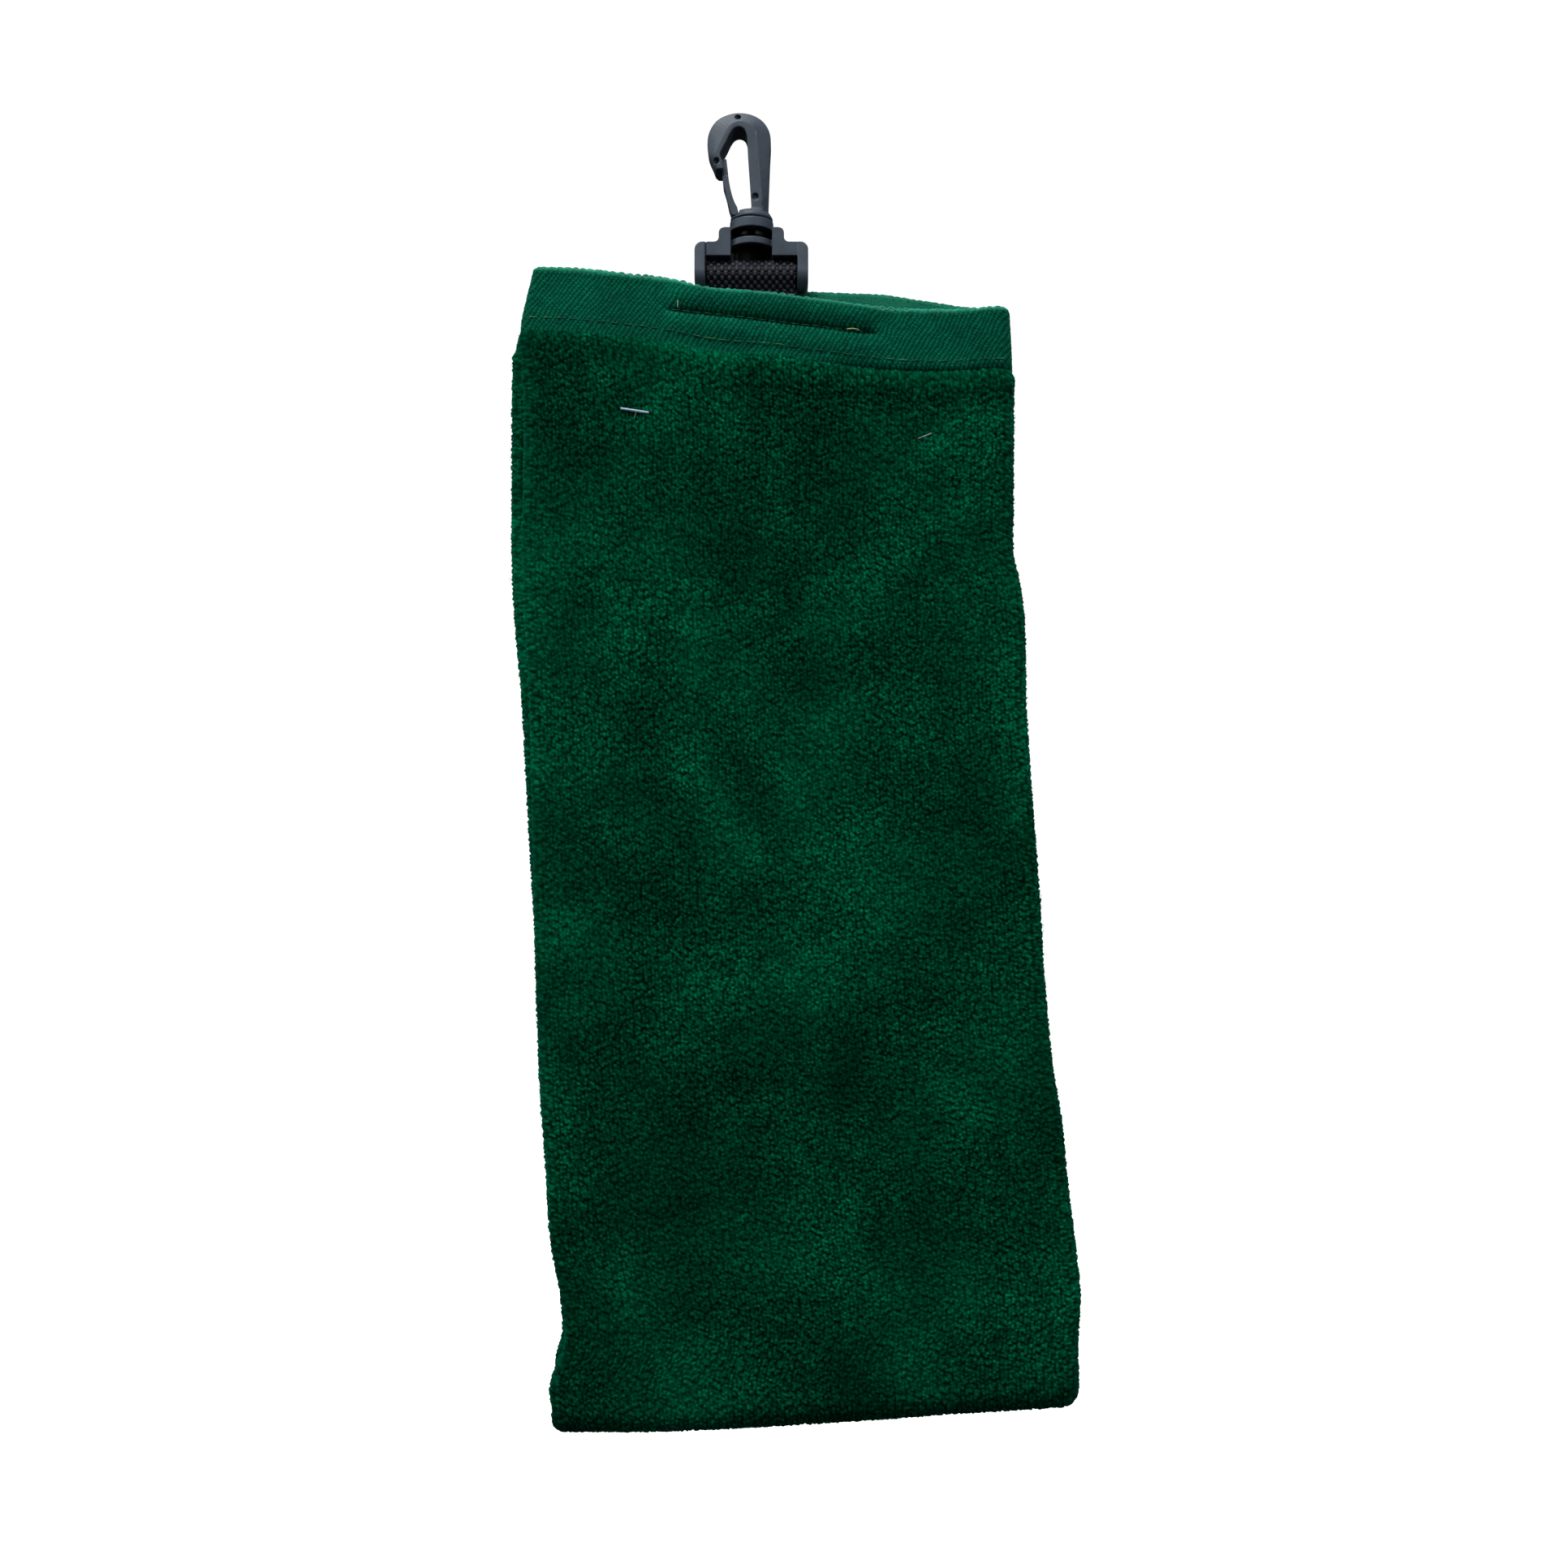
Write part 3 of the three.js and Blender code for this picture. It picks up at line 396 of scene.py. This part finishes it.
def hem(name, start, end):
    """A twill band of short floats, with a puckered end."""
    rows = even_steps(start, end, HEM_STEP)
    fold = Fold(rows, HEM_STEP, HEM_STEP)
    from_edge = np.minimum(fold.down, FLAT_LENGTH - fold.down)
    weave, tone = floats(fold.along, from_edge)
    wobble = 0.8 * ripple(fold.along, 0 * fold.along, 6, 6)
    scallop = np.abs(np.sin(fold.along * math.pi / SCALLOP_PITCH + wobble))
    at_edge = ease(1.6, 0.2, from_edge)
    fold.middle[..., 2] += at_edge * (0.3 * scallop + 0.3 * ripple(fold.along, 0 * fold.along, 9, 5))
    fray = random.uniform(-0.04, 0.04, weave.shape)
    height = FLOAT_HEIGHT * weave * (0.8 + 0.4 * tone) + fray - 0.8 * ease(1.0, 0, from_edge) ** 2
    return Sheet(name, fold.middle, HEM_HALF, height, weave=weave, tone=tone, edge=at_edge)


def overlock(name, sheet_row):
    """The thread looped over a hem's end: slanting loops, one to a scallop, each over the edge."""
    fold = Fold(np.array([sheet_row]), 0.5, 0.5)
    line, along = fold.middle[0], fold.along[0]
    outward = unit(np.cross(unit(np.gradient(line, axis=0)), [0, 0, 1.0]))
    bend = np.linspace(0, 1, 11)
    parts = []
    for start in np.arange(0.5, along[-1] - SCALLOP_PITCH, SCALLOP_PITCH):
        start = start + random.uniform(-0.35, 0.35)
        size = random.uniform(0.8, 1.15)
        for side, rise in ((1, 0.3), (-1, 0.15)):
            at = start + SCALLOP_PITCH * (bend * 1.15 - 0.1)
            place = np.stack([np.interp(at, along, line[:, axis]) for axis in range(3)], axis=1)
            out = np.stack([np.interp(at, along, outward[:, axis]) for axis in range(3)], axis=1)
            arch = np.sin(bend * math.pi)[:, None]
            place = place + out * side * (0.95 - 0.8 * arch) * size
            place[:, 2] += -0.75 + (rise + 0.6) * size * arch[:, 0]
            parts.append(tube(place, 0.34 * size * (0.65 + 0.35 * arch[:, 0]), sides=6))
    return merged(name, parts)


# ---- Webbing -------------------------------------------------------------------------------

def webbing():
    """The tape round the crossbar, with its two tails flat together, and its woven nubs."""
    turn = np.radians(np.linspace(212, -32, 40))
    ply = WEBBING_THICK / 2
    tail = [(-ply, WEBBING_END_Z), (-ply, -50), (-ply, -44.2), (-1.15, -42.4)]
    path = np.concatenate([
        tail,
        np.stack([ROLL_RADIUS * np.cos(turn), BAR_Z + ROLL_RADIUS * np.sin(turn)], axis=1),
        [(-y, z) for y, z in reversed(tail)],
    ])
    along = np.concatenate([[0], np.cumsum(np.linalg.norm(np.diff(path, axis=0), axis=1))])
    edge = WEBBING_WIDTH / 2 + WEBBING_SPARE
    run, wide = np.meshgrid(even_steps(0, along[-1], WEBBING_STEP),
                            even_steps(-edge, edge, WEBBING_STEP)[::-1], indexing="ij")
    y, z = np.interp(run, along, path[:, 0]), np.interp(run, along, path[:, 1])
    weave = np.cos(2 * math.pi * wide / NUB_PITCH) * np.cos(math.pi * run / NUB_ROW)
    nub = ease(-0.16, 0.26, weave) + 0.25 * ease(0.3, 0.8, -weave)
    nub = nub * random.uniform(0.85, 1.0, nub.shape) * ease(edge, edge - 0.8, np.abs(wide))
    swell = 0.28 * ease(-edge + 2, -edge + 5, wide) * ease(BAR_Z - 1, BAR_Z + 2, z)
    middle = np.stack([wide + SWIVEL_X, y, z + swell], axis=-1)
    return Sheet("webbing_strap", middle, WEBBING_THICK / 2 - 0.25, NUB_HEIGHT * nub, nub=nub)


# ---- Plastic mouldings ---------------------------------------------------------------------

def moulding(node, name, voxel, rounds):
    """The CAD node as a moulded piece: the same shape, with its edges softly rounded."""
    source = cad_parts[node]
    made = bpy.data.objects.new(name, source.data.copy())
    bpy.context.scene.collection.objects.link(made)
    remesh = made.modifiers.new("remesh", "REMESH")
    remesh.mode = "VOXEL"
    remesh.voxel_size = voxel * MM
    soften = made.modifiers.new("soften", "SMOOTH")
    soften.factor = 0.5
    soften.iterations = rounds
    rounded = bpy.data.meshes.new_from_object(made.evaluated_get(bpy.context.evaluated_depsgraph_get()))
    made.modifiers.clear()
    made.data = rounded
    rounded.polygons.foreach_set("use_smooth", [True] * len(rounded.polygons))
    mark_recess(rounded)
    return made


def mark_recess(mesh):
    """Marks what lies inside the yoke's housing, where the material paints shade: nearly black."""
    places = np.empty(3 * len(mesh.vertices), np.float32)
    mesh.vertices.foreach_get("co", places)
    x, y, z = places.reshape(-1, 3).T / MM
    inside = ease(5.5, 5.1, np.hypot(x - SWIVEL_X, y)) * ease(-26.75, -27.0, z) * ease(-36.0, -35.6, z)
    recess_shade = mesh.attributes.new("recess_shade", "FLOAT", "POINT")
    recess_shade.data.foreach_set("value", inside.astype(np.float32))


# ---- Stitches, tag pins and loose yarn -----------------------------------------------------

def stitches(name, sheet, toward, line, length, pitch, radius, sunk=0.0):
    """A row of stitches on a sheet, each a short thread that dips into the cloth at both ends."""
    line = np.array(line, float)
    along = np.concatenate([[0], np.cumsum(np.linalg.norm(np.diff(line, axis=0), axis=1))])
    bend = np.linspace(0, 1, 7)
    lift = np.sin(bend * math.pi)
    parts = []
    for start in np.arange(0, along[-1] - length, pitch):
        at = start + bend * length
        x, z = np.interp(at, along, line[:, 0]), np.interp(at, along, line[:, 1])
        face = sheet.face_y(toward, x[3], z[3])
        if face is not None:
            y = face + toward * (radius * (1.5 * lift - 0.6) - sunk - random.uniform(0, 0.12))
            parts.append(tube(np.stack([x, y, z], axis=1), radius * (0.55 + 0.45 * lift), sides=6))
    return merged(name, parts)


def hem_line(drop):
    """The running stitch's line, a drop below the top edge."""
    x = np.linspace(STITCH_FROM_X, STITCH_TO_X, 20)
    return np.stack([x, smooth(TOP_EDGE, x) - drop], axis=1)


def seam_ends(sheet):
    """The pale thread ends that stand out of the loop seam at its two ends."""
    (from_x, from_z), (to_x, to_z) = LOOP_SEAM
    t = np.linspace(0, 1, 9)
    parts = []
    for x, z, way_x, way_z, length in (
            (from_x + 1.8, from_z + 0.3, 0.05, 1.0, 2.6), (to_x - 7, to_z + 0.9, 1.0, -0.15, 3.4)):
        face = sheet.face_y(-1, x, z)
        path = np.stack([x + way_x * length * t, face - 0.35 * np.sin(t * math.pi) + 0.1,
                         z + way_z * length * t + 0.3 * np.sin(t * 2.4)], axis=1)
        parts.append(tube(path, 0.17 * (1 - 0.4 * t**4), sides=6))
    return merged("loop_seam_ends", parts)


def tag_pin(pin, sheet):
    """A nylon pin: a round bar on the front, its shaft through the cloth, and a bar at the back."""
    tilt = math.radians(pin["tilt"])
    direction = np.array([math.cos(tilt), 0, math.sin(tilt)])
    front = sheet.face_y(-1, pin["x"], pin["z"]) + pin["sunk"] - 0.25
    back = sheet.face_y(1, pin["x"], pin["z"]) + 0.2
    share = np.concatenate([[-0.5, -0.49], np.linspace(-0.47, 0.47, 9), [0.49, 0.5]])
    reach = share[:, None] * pin["length"]
    radii = pin["radius"] * np.array([0.6, 0.93] + [1] * 9 + [0.93, 0.6])
    parts = []
    for y in (front, back):
        parts.append(tube(np.array([pin["x"], y, pin["z"]]) + reach * direction, radii, sides=14))
    shaft_y = np.linspace(front, back, 8)
    shaft = np.stack([np.full(8, pin["x"]), shaft_y, np.full(8, pin["z"])], axis=1)
    parts.append(tube(shaft, 0.28))
    hair = np.linspace(0, 1, 8)[:, None]
    curl = np.concatenate([0.25 - 0.5 * hair**2, 0 * hair - 0.1, -0.3 - 1.9 * hair], axis=1)
    parts.append(tube(np.array([pin["x"], front, pin["z"]]) + curl, 0.06, sides=6))
    return merged(pin["name"] + "_nylon", parts)


def loose_yarn(name, sheet, count, size, thickness, where):
    """Small loops and ends of yarn that stand out of the pile at random places."""
    rows, columns = np.nonzero(where)
    picks = random.choice(len(rows), count, replace=False)
    t = np.linspace(0, 1, 9)[:, None]
    parts = []
    for row, column in zip(rows[picks], columns[picks]):
        out = sheet.normals[row, column]
        side = unit(np.cross(out, random.normal(size=3)))
        radius = size * random.uniform(0.6, 1.3)
        sweep = random.uniform(2.5, 5.6)
        loop = radius * (side * np.sin(t * sweep) + out * (1 - np.cos(t * sweep)) * 0.5)
        drift = unit(random.normal(size=3)) * t * radius * 0.8
        parts.append(tube(sheet.points[row, column] - out * 0.15 + loop + drift, thickness, sides=5))
    return merged(name, parts)


# ---- Materials -----------------------------------------------------------------------------

class Look:
    """A material's node tree, with short calls to add nodes and link them."""

    def __init__(self, name, **shader):
        self.material = bpy.data.materials.new(name)
        self.material.use_nodes = True
        self.tree = self.material.node_tree
        self.shader = self.tree.nodes["Principled BSDF"]
        self.places = self.tree.nodes.new("ShaderNodeTexCoord").outputs["Object"]
        for key, value in shader.items():
            self.put(self.shader.inputs[key.replace("_", " ")], value)

    def put(self, socket, value):
        if isinstance(value, bpy.types.NodeSocket):
            self.tree.links.new(value, socket)
        elif isinstance(value, tuple) and len(value) == 3 and socket.type == "RGBA":
            socket.default_value = (*value, 1)
        else:
            socket.default_value = value

    def node(self, kind, output, inputs, **settings):
        made = self.tree.nodes.new("ShaderNode" + kind)
        for key, value in settings.items():
            setattr(made, key, value)
        for key, value in inputs.items():
            self.put(made.inputs[key], value)
        return made.outputs[output]

    def noise(self, size_mm, detail=2.0, distortion=0.0):
        return self.node("TexNoise", "Fac", {
            "Vector": self.places, "Scale": 1 / (size_mm * MM), "Detail": detail, "Distortion": distortion})

    def grid(self, name):
        return self.node("Attribute", "Fac", {}, attribute_name=name)

    def roughened(self, name, fibre, amount):
        """One of the mesh's attributes, with fibre noise added to it."""
        spread = self.maths("MULTIPLY", self.maths("SUBTRACT", fibre, 0.5), amount)
        return self.maths("ADD", self.grid(name), spread)

    def maths(self, operation, a, b):
        return self.node("Math", "Value", {0: a, 1: b}, operation=operation)

    def ramp(self, fac, *stops):
        made = self.tree.nodes.new("ShaderNodeValToRGB")
        self.tree.links.new(fac, made.inputs["Fac"])
        elements = made.color_ramp.elements
        while len(elements) < len(stops):
            elements.new(0.5)
        for element, (position, colour) in zip(elements, stops):
            element.position = position
            element.color = (*colour, 1) if isinstance(colour, tuple) else (colour, colour, colour, 1)
        return made.outputs["Color"]

    def mix(self, fac, a, b, blend="MIX"):
        return self.node("Mix", 2, {0: fac, 6: a, 7: b}, data_type="RGBA", blend_type=blend)

    def bump(self, height, strength, distance_mm):
        normal = self.node("Bump", "Normal", {
            "Height": height, "Strength": strength, "Distance": distance_mm * MM})
        self.tree.links.new(normal, self.shader.inputs["Normal"])

    def colour(self, value):
        self.put(self.shader.inputs["Base Color"], value)
        return self.material


def terry_material():
    look = Look("terry_green", Roughness=0.95, Specular_IOR_Level=0.0, Sheen_Weight=0.15,
                Sheen_Roughness=0.4, Sheen_Tint=(0.03, 0.85, 0.55))
    fibre = look.noise(0.3, 3)
    clump = look.noise(0.9, 2)
    crown = look.roughened("crown", fibre, 0.9)
    sheared = look.ramp(look.noise(34, 2), (0.44, 0.0), (0.6, 0.32))
    crown = look.maths("ADD", crown, look.maths("MULTIPLY", sheared, look.maths("SUBTRACT", 0.5, crown)))
    # Painted shade and light: the colour goes nearly black in the gaps between tufts and light on their
    # crowns; in the sheared patches the crown is pulled towards 0.5, which weakens both.
    tuft = look.ramp(crown, (0.0, (0.0, 0.007, 0.0020)), (0.4, (0.0, 0.036, 0.0148)),
                     (0.75, (0.0, 0.080, 0.036)), (1.0, (0.0, 0.160, 0.080)))
    tone = look.ramp(look.grid("tone"), (0.0, 0.72), (1.0, 1.3))
    nap = look.ramp(look.noise(42, 3, 0.5), (0.32, 0.58), (0.5, 1.03), (0.68, 1.7))
    cloud = look.ramp(look.noise(9, 3), (0.3, 0.8), (0.7, 1.22))
    shade = look.mix(1.0, look.mix(1.0, nap, cloud, "MULTIPLY"), tone, "MULTIPLY")
    look.bump(look.maths("ADD", fibre, look.maths("MULTIPLY", clump, 0.8)), 0.7, 0.35)
    return look.colour(look.mix(1.0, tuft, shade, "MULTIPLY"))


def hem_material():
    look = Look("hem_green", Roughness=0.9, Specular_IOR_Level=0.03, Sheen_Weight=0.26,
                Sheen_Roughness=0.3, Sheen_Tint=(0.08, 0.95, 0.68))
    fibre = look.noise(0.28, 3)
    weave = look.roughened("weave", fibre, 0.8)
    # Painted shade and light: darker between the twill's floats, lighter on them.
    base = look.ramp(weave, (0.1, (0.0, 0.021, 0.0095)), (0.55, (0.0, 0.058, 0.030)),
                     (1.05, (0.0008, 0.097, 0.054)))
    # Painted sheen: towards the overlocked edge the colour is mixed to a paler green.
    edge_sheen = look.ramp(fibre, (0.3, (0.006, 0.12, 0.068)), (0.7, (0.03, 0.26, 0.16)))
    base = look.mix(look.grid("edge"), base, edge_sheen)
    tone = look.ramp(look.grid("tone"), (0.0, 0.8), (1.0, 1.22))
    cloud = look.ramp(look.noise(12, 3), (0.3, 0.82), (0.7, 1.18))
    look.bump(fibre, 0.6, 0.18)
    return look.colour(look.mix(1.0, base, look.mix(1.0, cloud, tone, "MULTIPLY"), "MULTIPLY"))


def thread_material(name, pale):
    """Sewing thread: green, and in places the paler thread from the other side of the seam."""
    look = Look(name, Roughness=0.6, Specular_IOR_Level=0.2)
    twist = look.noise(0.4, 1)
    cloud = look.noise(9, 2)
    pale = look.ramp(cloud, (0.48, (0.001, 0.055, 0.027)), (0.66, pale))
    look.bump(twist, 0.5, 0.1)
    return look.colour(look.mix(1.0, pale, look.ramp(twist, (0.3, 0.7), (0.7, 1.2)), "MULTIPLY"))


def pale_thread_material():
    look = Look("thread_pale", Roughness=0.55)
    twist = look.noise(0.35, 1)
    look.bump(twist, 0.5, 0.1)
    return look.colour(look.ramp(twist, (0.3, (0.16, 0.26, 0.1)), (0.7, (0.3, 0.4, 0.18))))


def edge_thread_material():
    look = Look("edge_thread", Roughness=0.8, Specular_IOR_Level=0.15, Sheen_Weight=0.2,
                Sheen_Tint=(0.4, 0.9, 0.7))
    twist = look.noise(0.45, 2)
    look.bump(twist, 0.6, 0.15)
    return look.colour(look.ramp(twist, (0.25, (0.003, 0.075, 0.038)), (0.75, (0.03, 0.21, 0.13))))


def fuzz_material():
    look = Look("fuzz_green", Roughness=0.8, Specular_IOR_Level=0.1)
    tone = look.noise(2.5, 1)
    return look.colour(look.ramp(tone, (0.3, (0.0, 0.05, 0.025)), (0.7, (0.01, 0.12, 0.07))))


def webbing_material():
    look = Look("webbing_black", Roughness=0.62, Specular_IOR_Level=0.2)
    fibre = look.noise(0.25, 2)
    height = look.roughened("nub", fibre, 0.5)
    look.bump(fibre, 0.4, 0.12)
    # Painted shade and light: the black tape is darkest between its nubs and greyer on their tops.
    return look.colour(look.ramp(height, (0.3, (0.0003, 0.0003, 0.0006)), (0.7, (0.007, 0.009, 0.016)),
                                 (1.0, (0.022, 0.028, 0.048))))


def hook_material():
    look = Look("hook_plastic", Specular_IOR_Level=0.3)
    cloud = look.noise(5, 3)
    grain = look.noise(0.28, 2)
    look.put(look.shader.inputs["Roughness"], look.ramp(cloud, (0.3, 0.46), (0.7, 0.56)))
    look.bump(grain, 0.3, 0.05)
    face = look.ramp(cloud, (0.3, (0.027, 0.040, 0.056)), (0.7, (0.038, 0.054, 0.075)))
    # Painted shade: inside the yoke's housing the plastic's colour is mixed to nearly black.
    return look.colour(look.mix(look.grid("recess_shade"), face, look.ramp(cloud, (0.3, 0.002), (0.7, 0.004))))


def mould_line():
    """A faint raised line, taken for a mould line, down the front of the hook's spine; its paler, pinker
    colour is a painted highlight.
    """
    path = np.linspace([4.3, -4.2, -1.2], [6.0, -4.2, -21.0], 12)
    path[:, 1] += 0.07
    return merged("hook_mould_line", [tube(path, 0.1, sides=8)])


def mould_line_highlight_material():
    look = Look("mould_line", Roughness=0.5, Specular_IOR_Level=0.3)
    glint = look.noise(1.2, 2)
    # Painted highlight: paler and pinker than the plastic, brighter in patches along the line.
    return look.colour(look.ramp(glint, (0.35, (0.045, 0.050, 0.060)), (0.7, (0.098, 0.078, 0.082))))


def nylon_material(name, dark, light):
    look = Look(name, Roughness=0.3, Subsurface_Weight=0.15)
    cloud = look.noise(1.5, 2)
    return look.colour(look.ramp(cloud, (0.3, dark), (0.7, light)))


# ---- Stage ---------------------------------------------------------------------------------

def backdrop():
    """A pale round studio: a floor that curves up into a wall on all sides."""
    floor_z, radius, bend, top = -560, 2400, 500, 2400
    turn = np.linspace(0, math.pi / 2, 10)
    profile = [(radius * share, floor_z) for share in (0.02, 0.4)]
    profile += [(radius - bend + bend * math.sin(a), floor_z + bend - bend * math.cos(a)) for a in turn]
    profile += [(radius, top), (0.02 * radius, top)]
    sides = 48
    angle = np.arange(sides) * 2 * math.pi / sides
    points = [(r * math.cos(a), r * math.sin(a), z) for r, z in profile for a in angle]
    faces = []
    for k in range(len(profile) - 1):
        for s in range(sides):
            a, b = k * sides + s, k * sides + (s + 1) % sides
            faces.append([a, a + sides, b + sides, b])
    faces.append(list(range(sides)))
    drum = mesh_object("stage_backdrop", points, faces)
    look = Look("stage_white", Roughness=1.0, Emission_Color=(1, 1, 1), Emission_Strength=0.95)
    drum.data.materials.append(look.colour((0.8, 0.8, 0.8)))
    drum.visible_diffuse = False
    drum.visible_glossy = False
    drum.visible_shadow = False


def lights():
    world = bpy.data.worlds.new("studio")
    bpy.context.scene.world = world
    world.use_nodes = True
    sky = world.node_tree.nodes["Background"]
    sky.inputs["Color"].default_value = (0.92, 0.96, 1, 1)
    sky.inputs["Strength"].default_value = 0.03
    lamps = (  # name, place, size, watts; each is aimed at the towel
        ("key", (-200, -480, 760), 420, 13.0),
        ("fill", (560, -680, 120), 500, 2.4),
        ("side", (-760, -240, 160), 500, 2.4),
        ("crown", (60, 120, 700), 420, 1.6),
        ("behind", (-200, 760, 300), 500, 5.0),
        ("right", (800, 300, 160), 500, 2.5),
    )
    for name, place, size, watts in lamps:
        light = bpy.data.lights.new(name, "AREA")
        light.size = size * MM
        light.energy = watts
        lamp = bpy.data.objects.new(name, light)
        lamp.location = Vector(place) * MM
        way = Vector((10, 0, -140)) * MM - lamp.location
        lamp.rotation_euler = way.to_track_quat("-Z", "Y").to_euler()
        lamp.visible_glossy = name not in ("behind", "right")
        bpy.context.scene.collection.objects.link(lamp)


def camera():
    lens = bpy.data.cameras.new("camera")
    lens.lens, lens.sensor_width = LENS, SENSOR
    made = bpy.data.objects.new("camera", lens)
    made.location = Vector(CAMERA_AT) * MM
    made.rotation_euler = (math.pi / 2, 0, 0)
    bpy.context.scene.collection.objects.link(made)
    bpy.context.scene.camera = made
    bpy.context.scene.view_settings.view_transform = "Standard"


# ---- Assembly ------------------------------------------------------------------------------

def place(piece, body, slot, material, *nodes):
    """Puts a piece on a body, with its material, in place of CAD nodes; the slot is not used."""
    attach(piece, body)
    if nodes:
        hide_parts(*nodes)
    piece.data.materials.clear()
    piece.data.materials.append(material)
    return piece


backdrop()
lights()
camera()

plastic = hook_material()
place(moulding("hook_frame", "hook_moulding", 0.13, 20), "hook", "hook_plastic", plastic, "hook_frame")
place(moulding("gate_leaf", "gate_moulding", 0.1, 5), "gate", "hook_plastic", plastic, "gate_leaf")
place(moulding("yoke", "yoke_moulding", 0.15, 5), "yoke", "hook_plastic", plastic, "yoke")
place(mould_line(), "hook", "hook_plastic", mould_line_highlight_material())
place(webbing().object, "towel", "webbing_black", webbing_material(), "webbing_loop")

terry = terry_cloth()
hook_end = hem("hook_end_hem_band", 0, HEM_HEIGHT)
free_end = hem("free_end_hem_band", FLAT_LENGTH - HEM_HEIGHT, FLAT_LENGTH)
twill = hem_material()
cloth = place(terry.object, "towel", "terry_green", terry_material(), "terry_cloth")
on_cloth = [
    place(hook_end.object, "towel", "hem_green", twill, "hook_end_hem"),
    place(free_end.object, "towel", "hem_green", twill, "free_end_hem"),
]

thread = thread_material("thread_green", (0.075, 0.22, 0.095))
# Painted shade: the loop seam's thread is a darker copy of the green thread, without its paler patches, for
# the shade in the seam's crease.
seam_thread = thread_material("seam_thread", (0.004, 0.08, 0.038))
edge_thread, fuzz = edge_thread_material(), fuzz_material()
on_cloth += [
    place(stitches("hook_end_stitches", hook_end, -1, hem_line(STITCH_DROP),
                   HEM_STITCH, HEM_STITCH_PITCH, THREAD_RADIUS),
          "towel", "thread_green", thread, "hook_end_hem_thread"),
    place(stitches("free_end_stitches", free_end, 1, hem_line(FREE_END_DROP + STITCH_DROP),
                   HEM_STITCH, HEM_STITCH_PITCH, THREAD_RADIUS),
          "towel", "thread_green", thread, "free_end_hem_thread"),
    place(stitches("loop_seam_stitches", hook_end, -1, LOOP_SEAM,
                   LOOP_STITCH, LOOP_STITCH_PITCH, THREAD_RADIUS, sunk=0.25),
          "towel", "thread_green", seam_thread, "loop_seam_thread"),
    place(seam_ends(hook_end), "towel", "thread_green", pale_thread_material()),
    place(overlock("hook_end_overlock", 0), "towel", "thread_green", edge_thread),
    place(overlock("free_end_overlock", FLAT_LENGTH), "towel", "thread_green", edge_thread),
]

seen_face = np.abs(terry.normals[..., 1]) > 0.5
seen_edge = (np.abs(terry.normals[..., 0]) > 0.5) | (terry.points[..., 2] < terry.points[..., 2].min() + 6)
on_cloth += [
    place(loose_yarn("pile_loops", terry, 160, 0.42, 0.09, seen_face), "towel", "terry_green", fuzz),
    place(loose_yarn("edge_fuzz", terry, 1400, 0.5, 0.035, seen_edge), "towel", "terry_green", fuzz),
]
pin_nylon = nylon_material("tag_nylon", (0.2, 0.28, 0.36), (0.34, 0.43, 0.53))
# Painted shade: the right pin, half sunk in the pile, gets a darker copy of the nylon.
shaded_nylon = nylon_material("tag_nylon_shaded", (0.02, 0.06, 0.065), (0.09, 0.14, 0.17))
for pin, nylon in zip(PINS, (pin_nylon, shaded_nylon)):
    place(tag_pin(pin, terry), "towel", "tag_nylon", nylon, pin["name"])
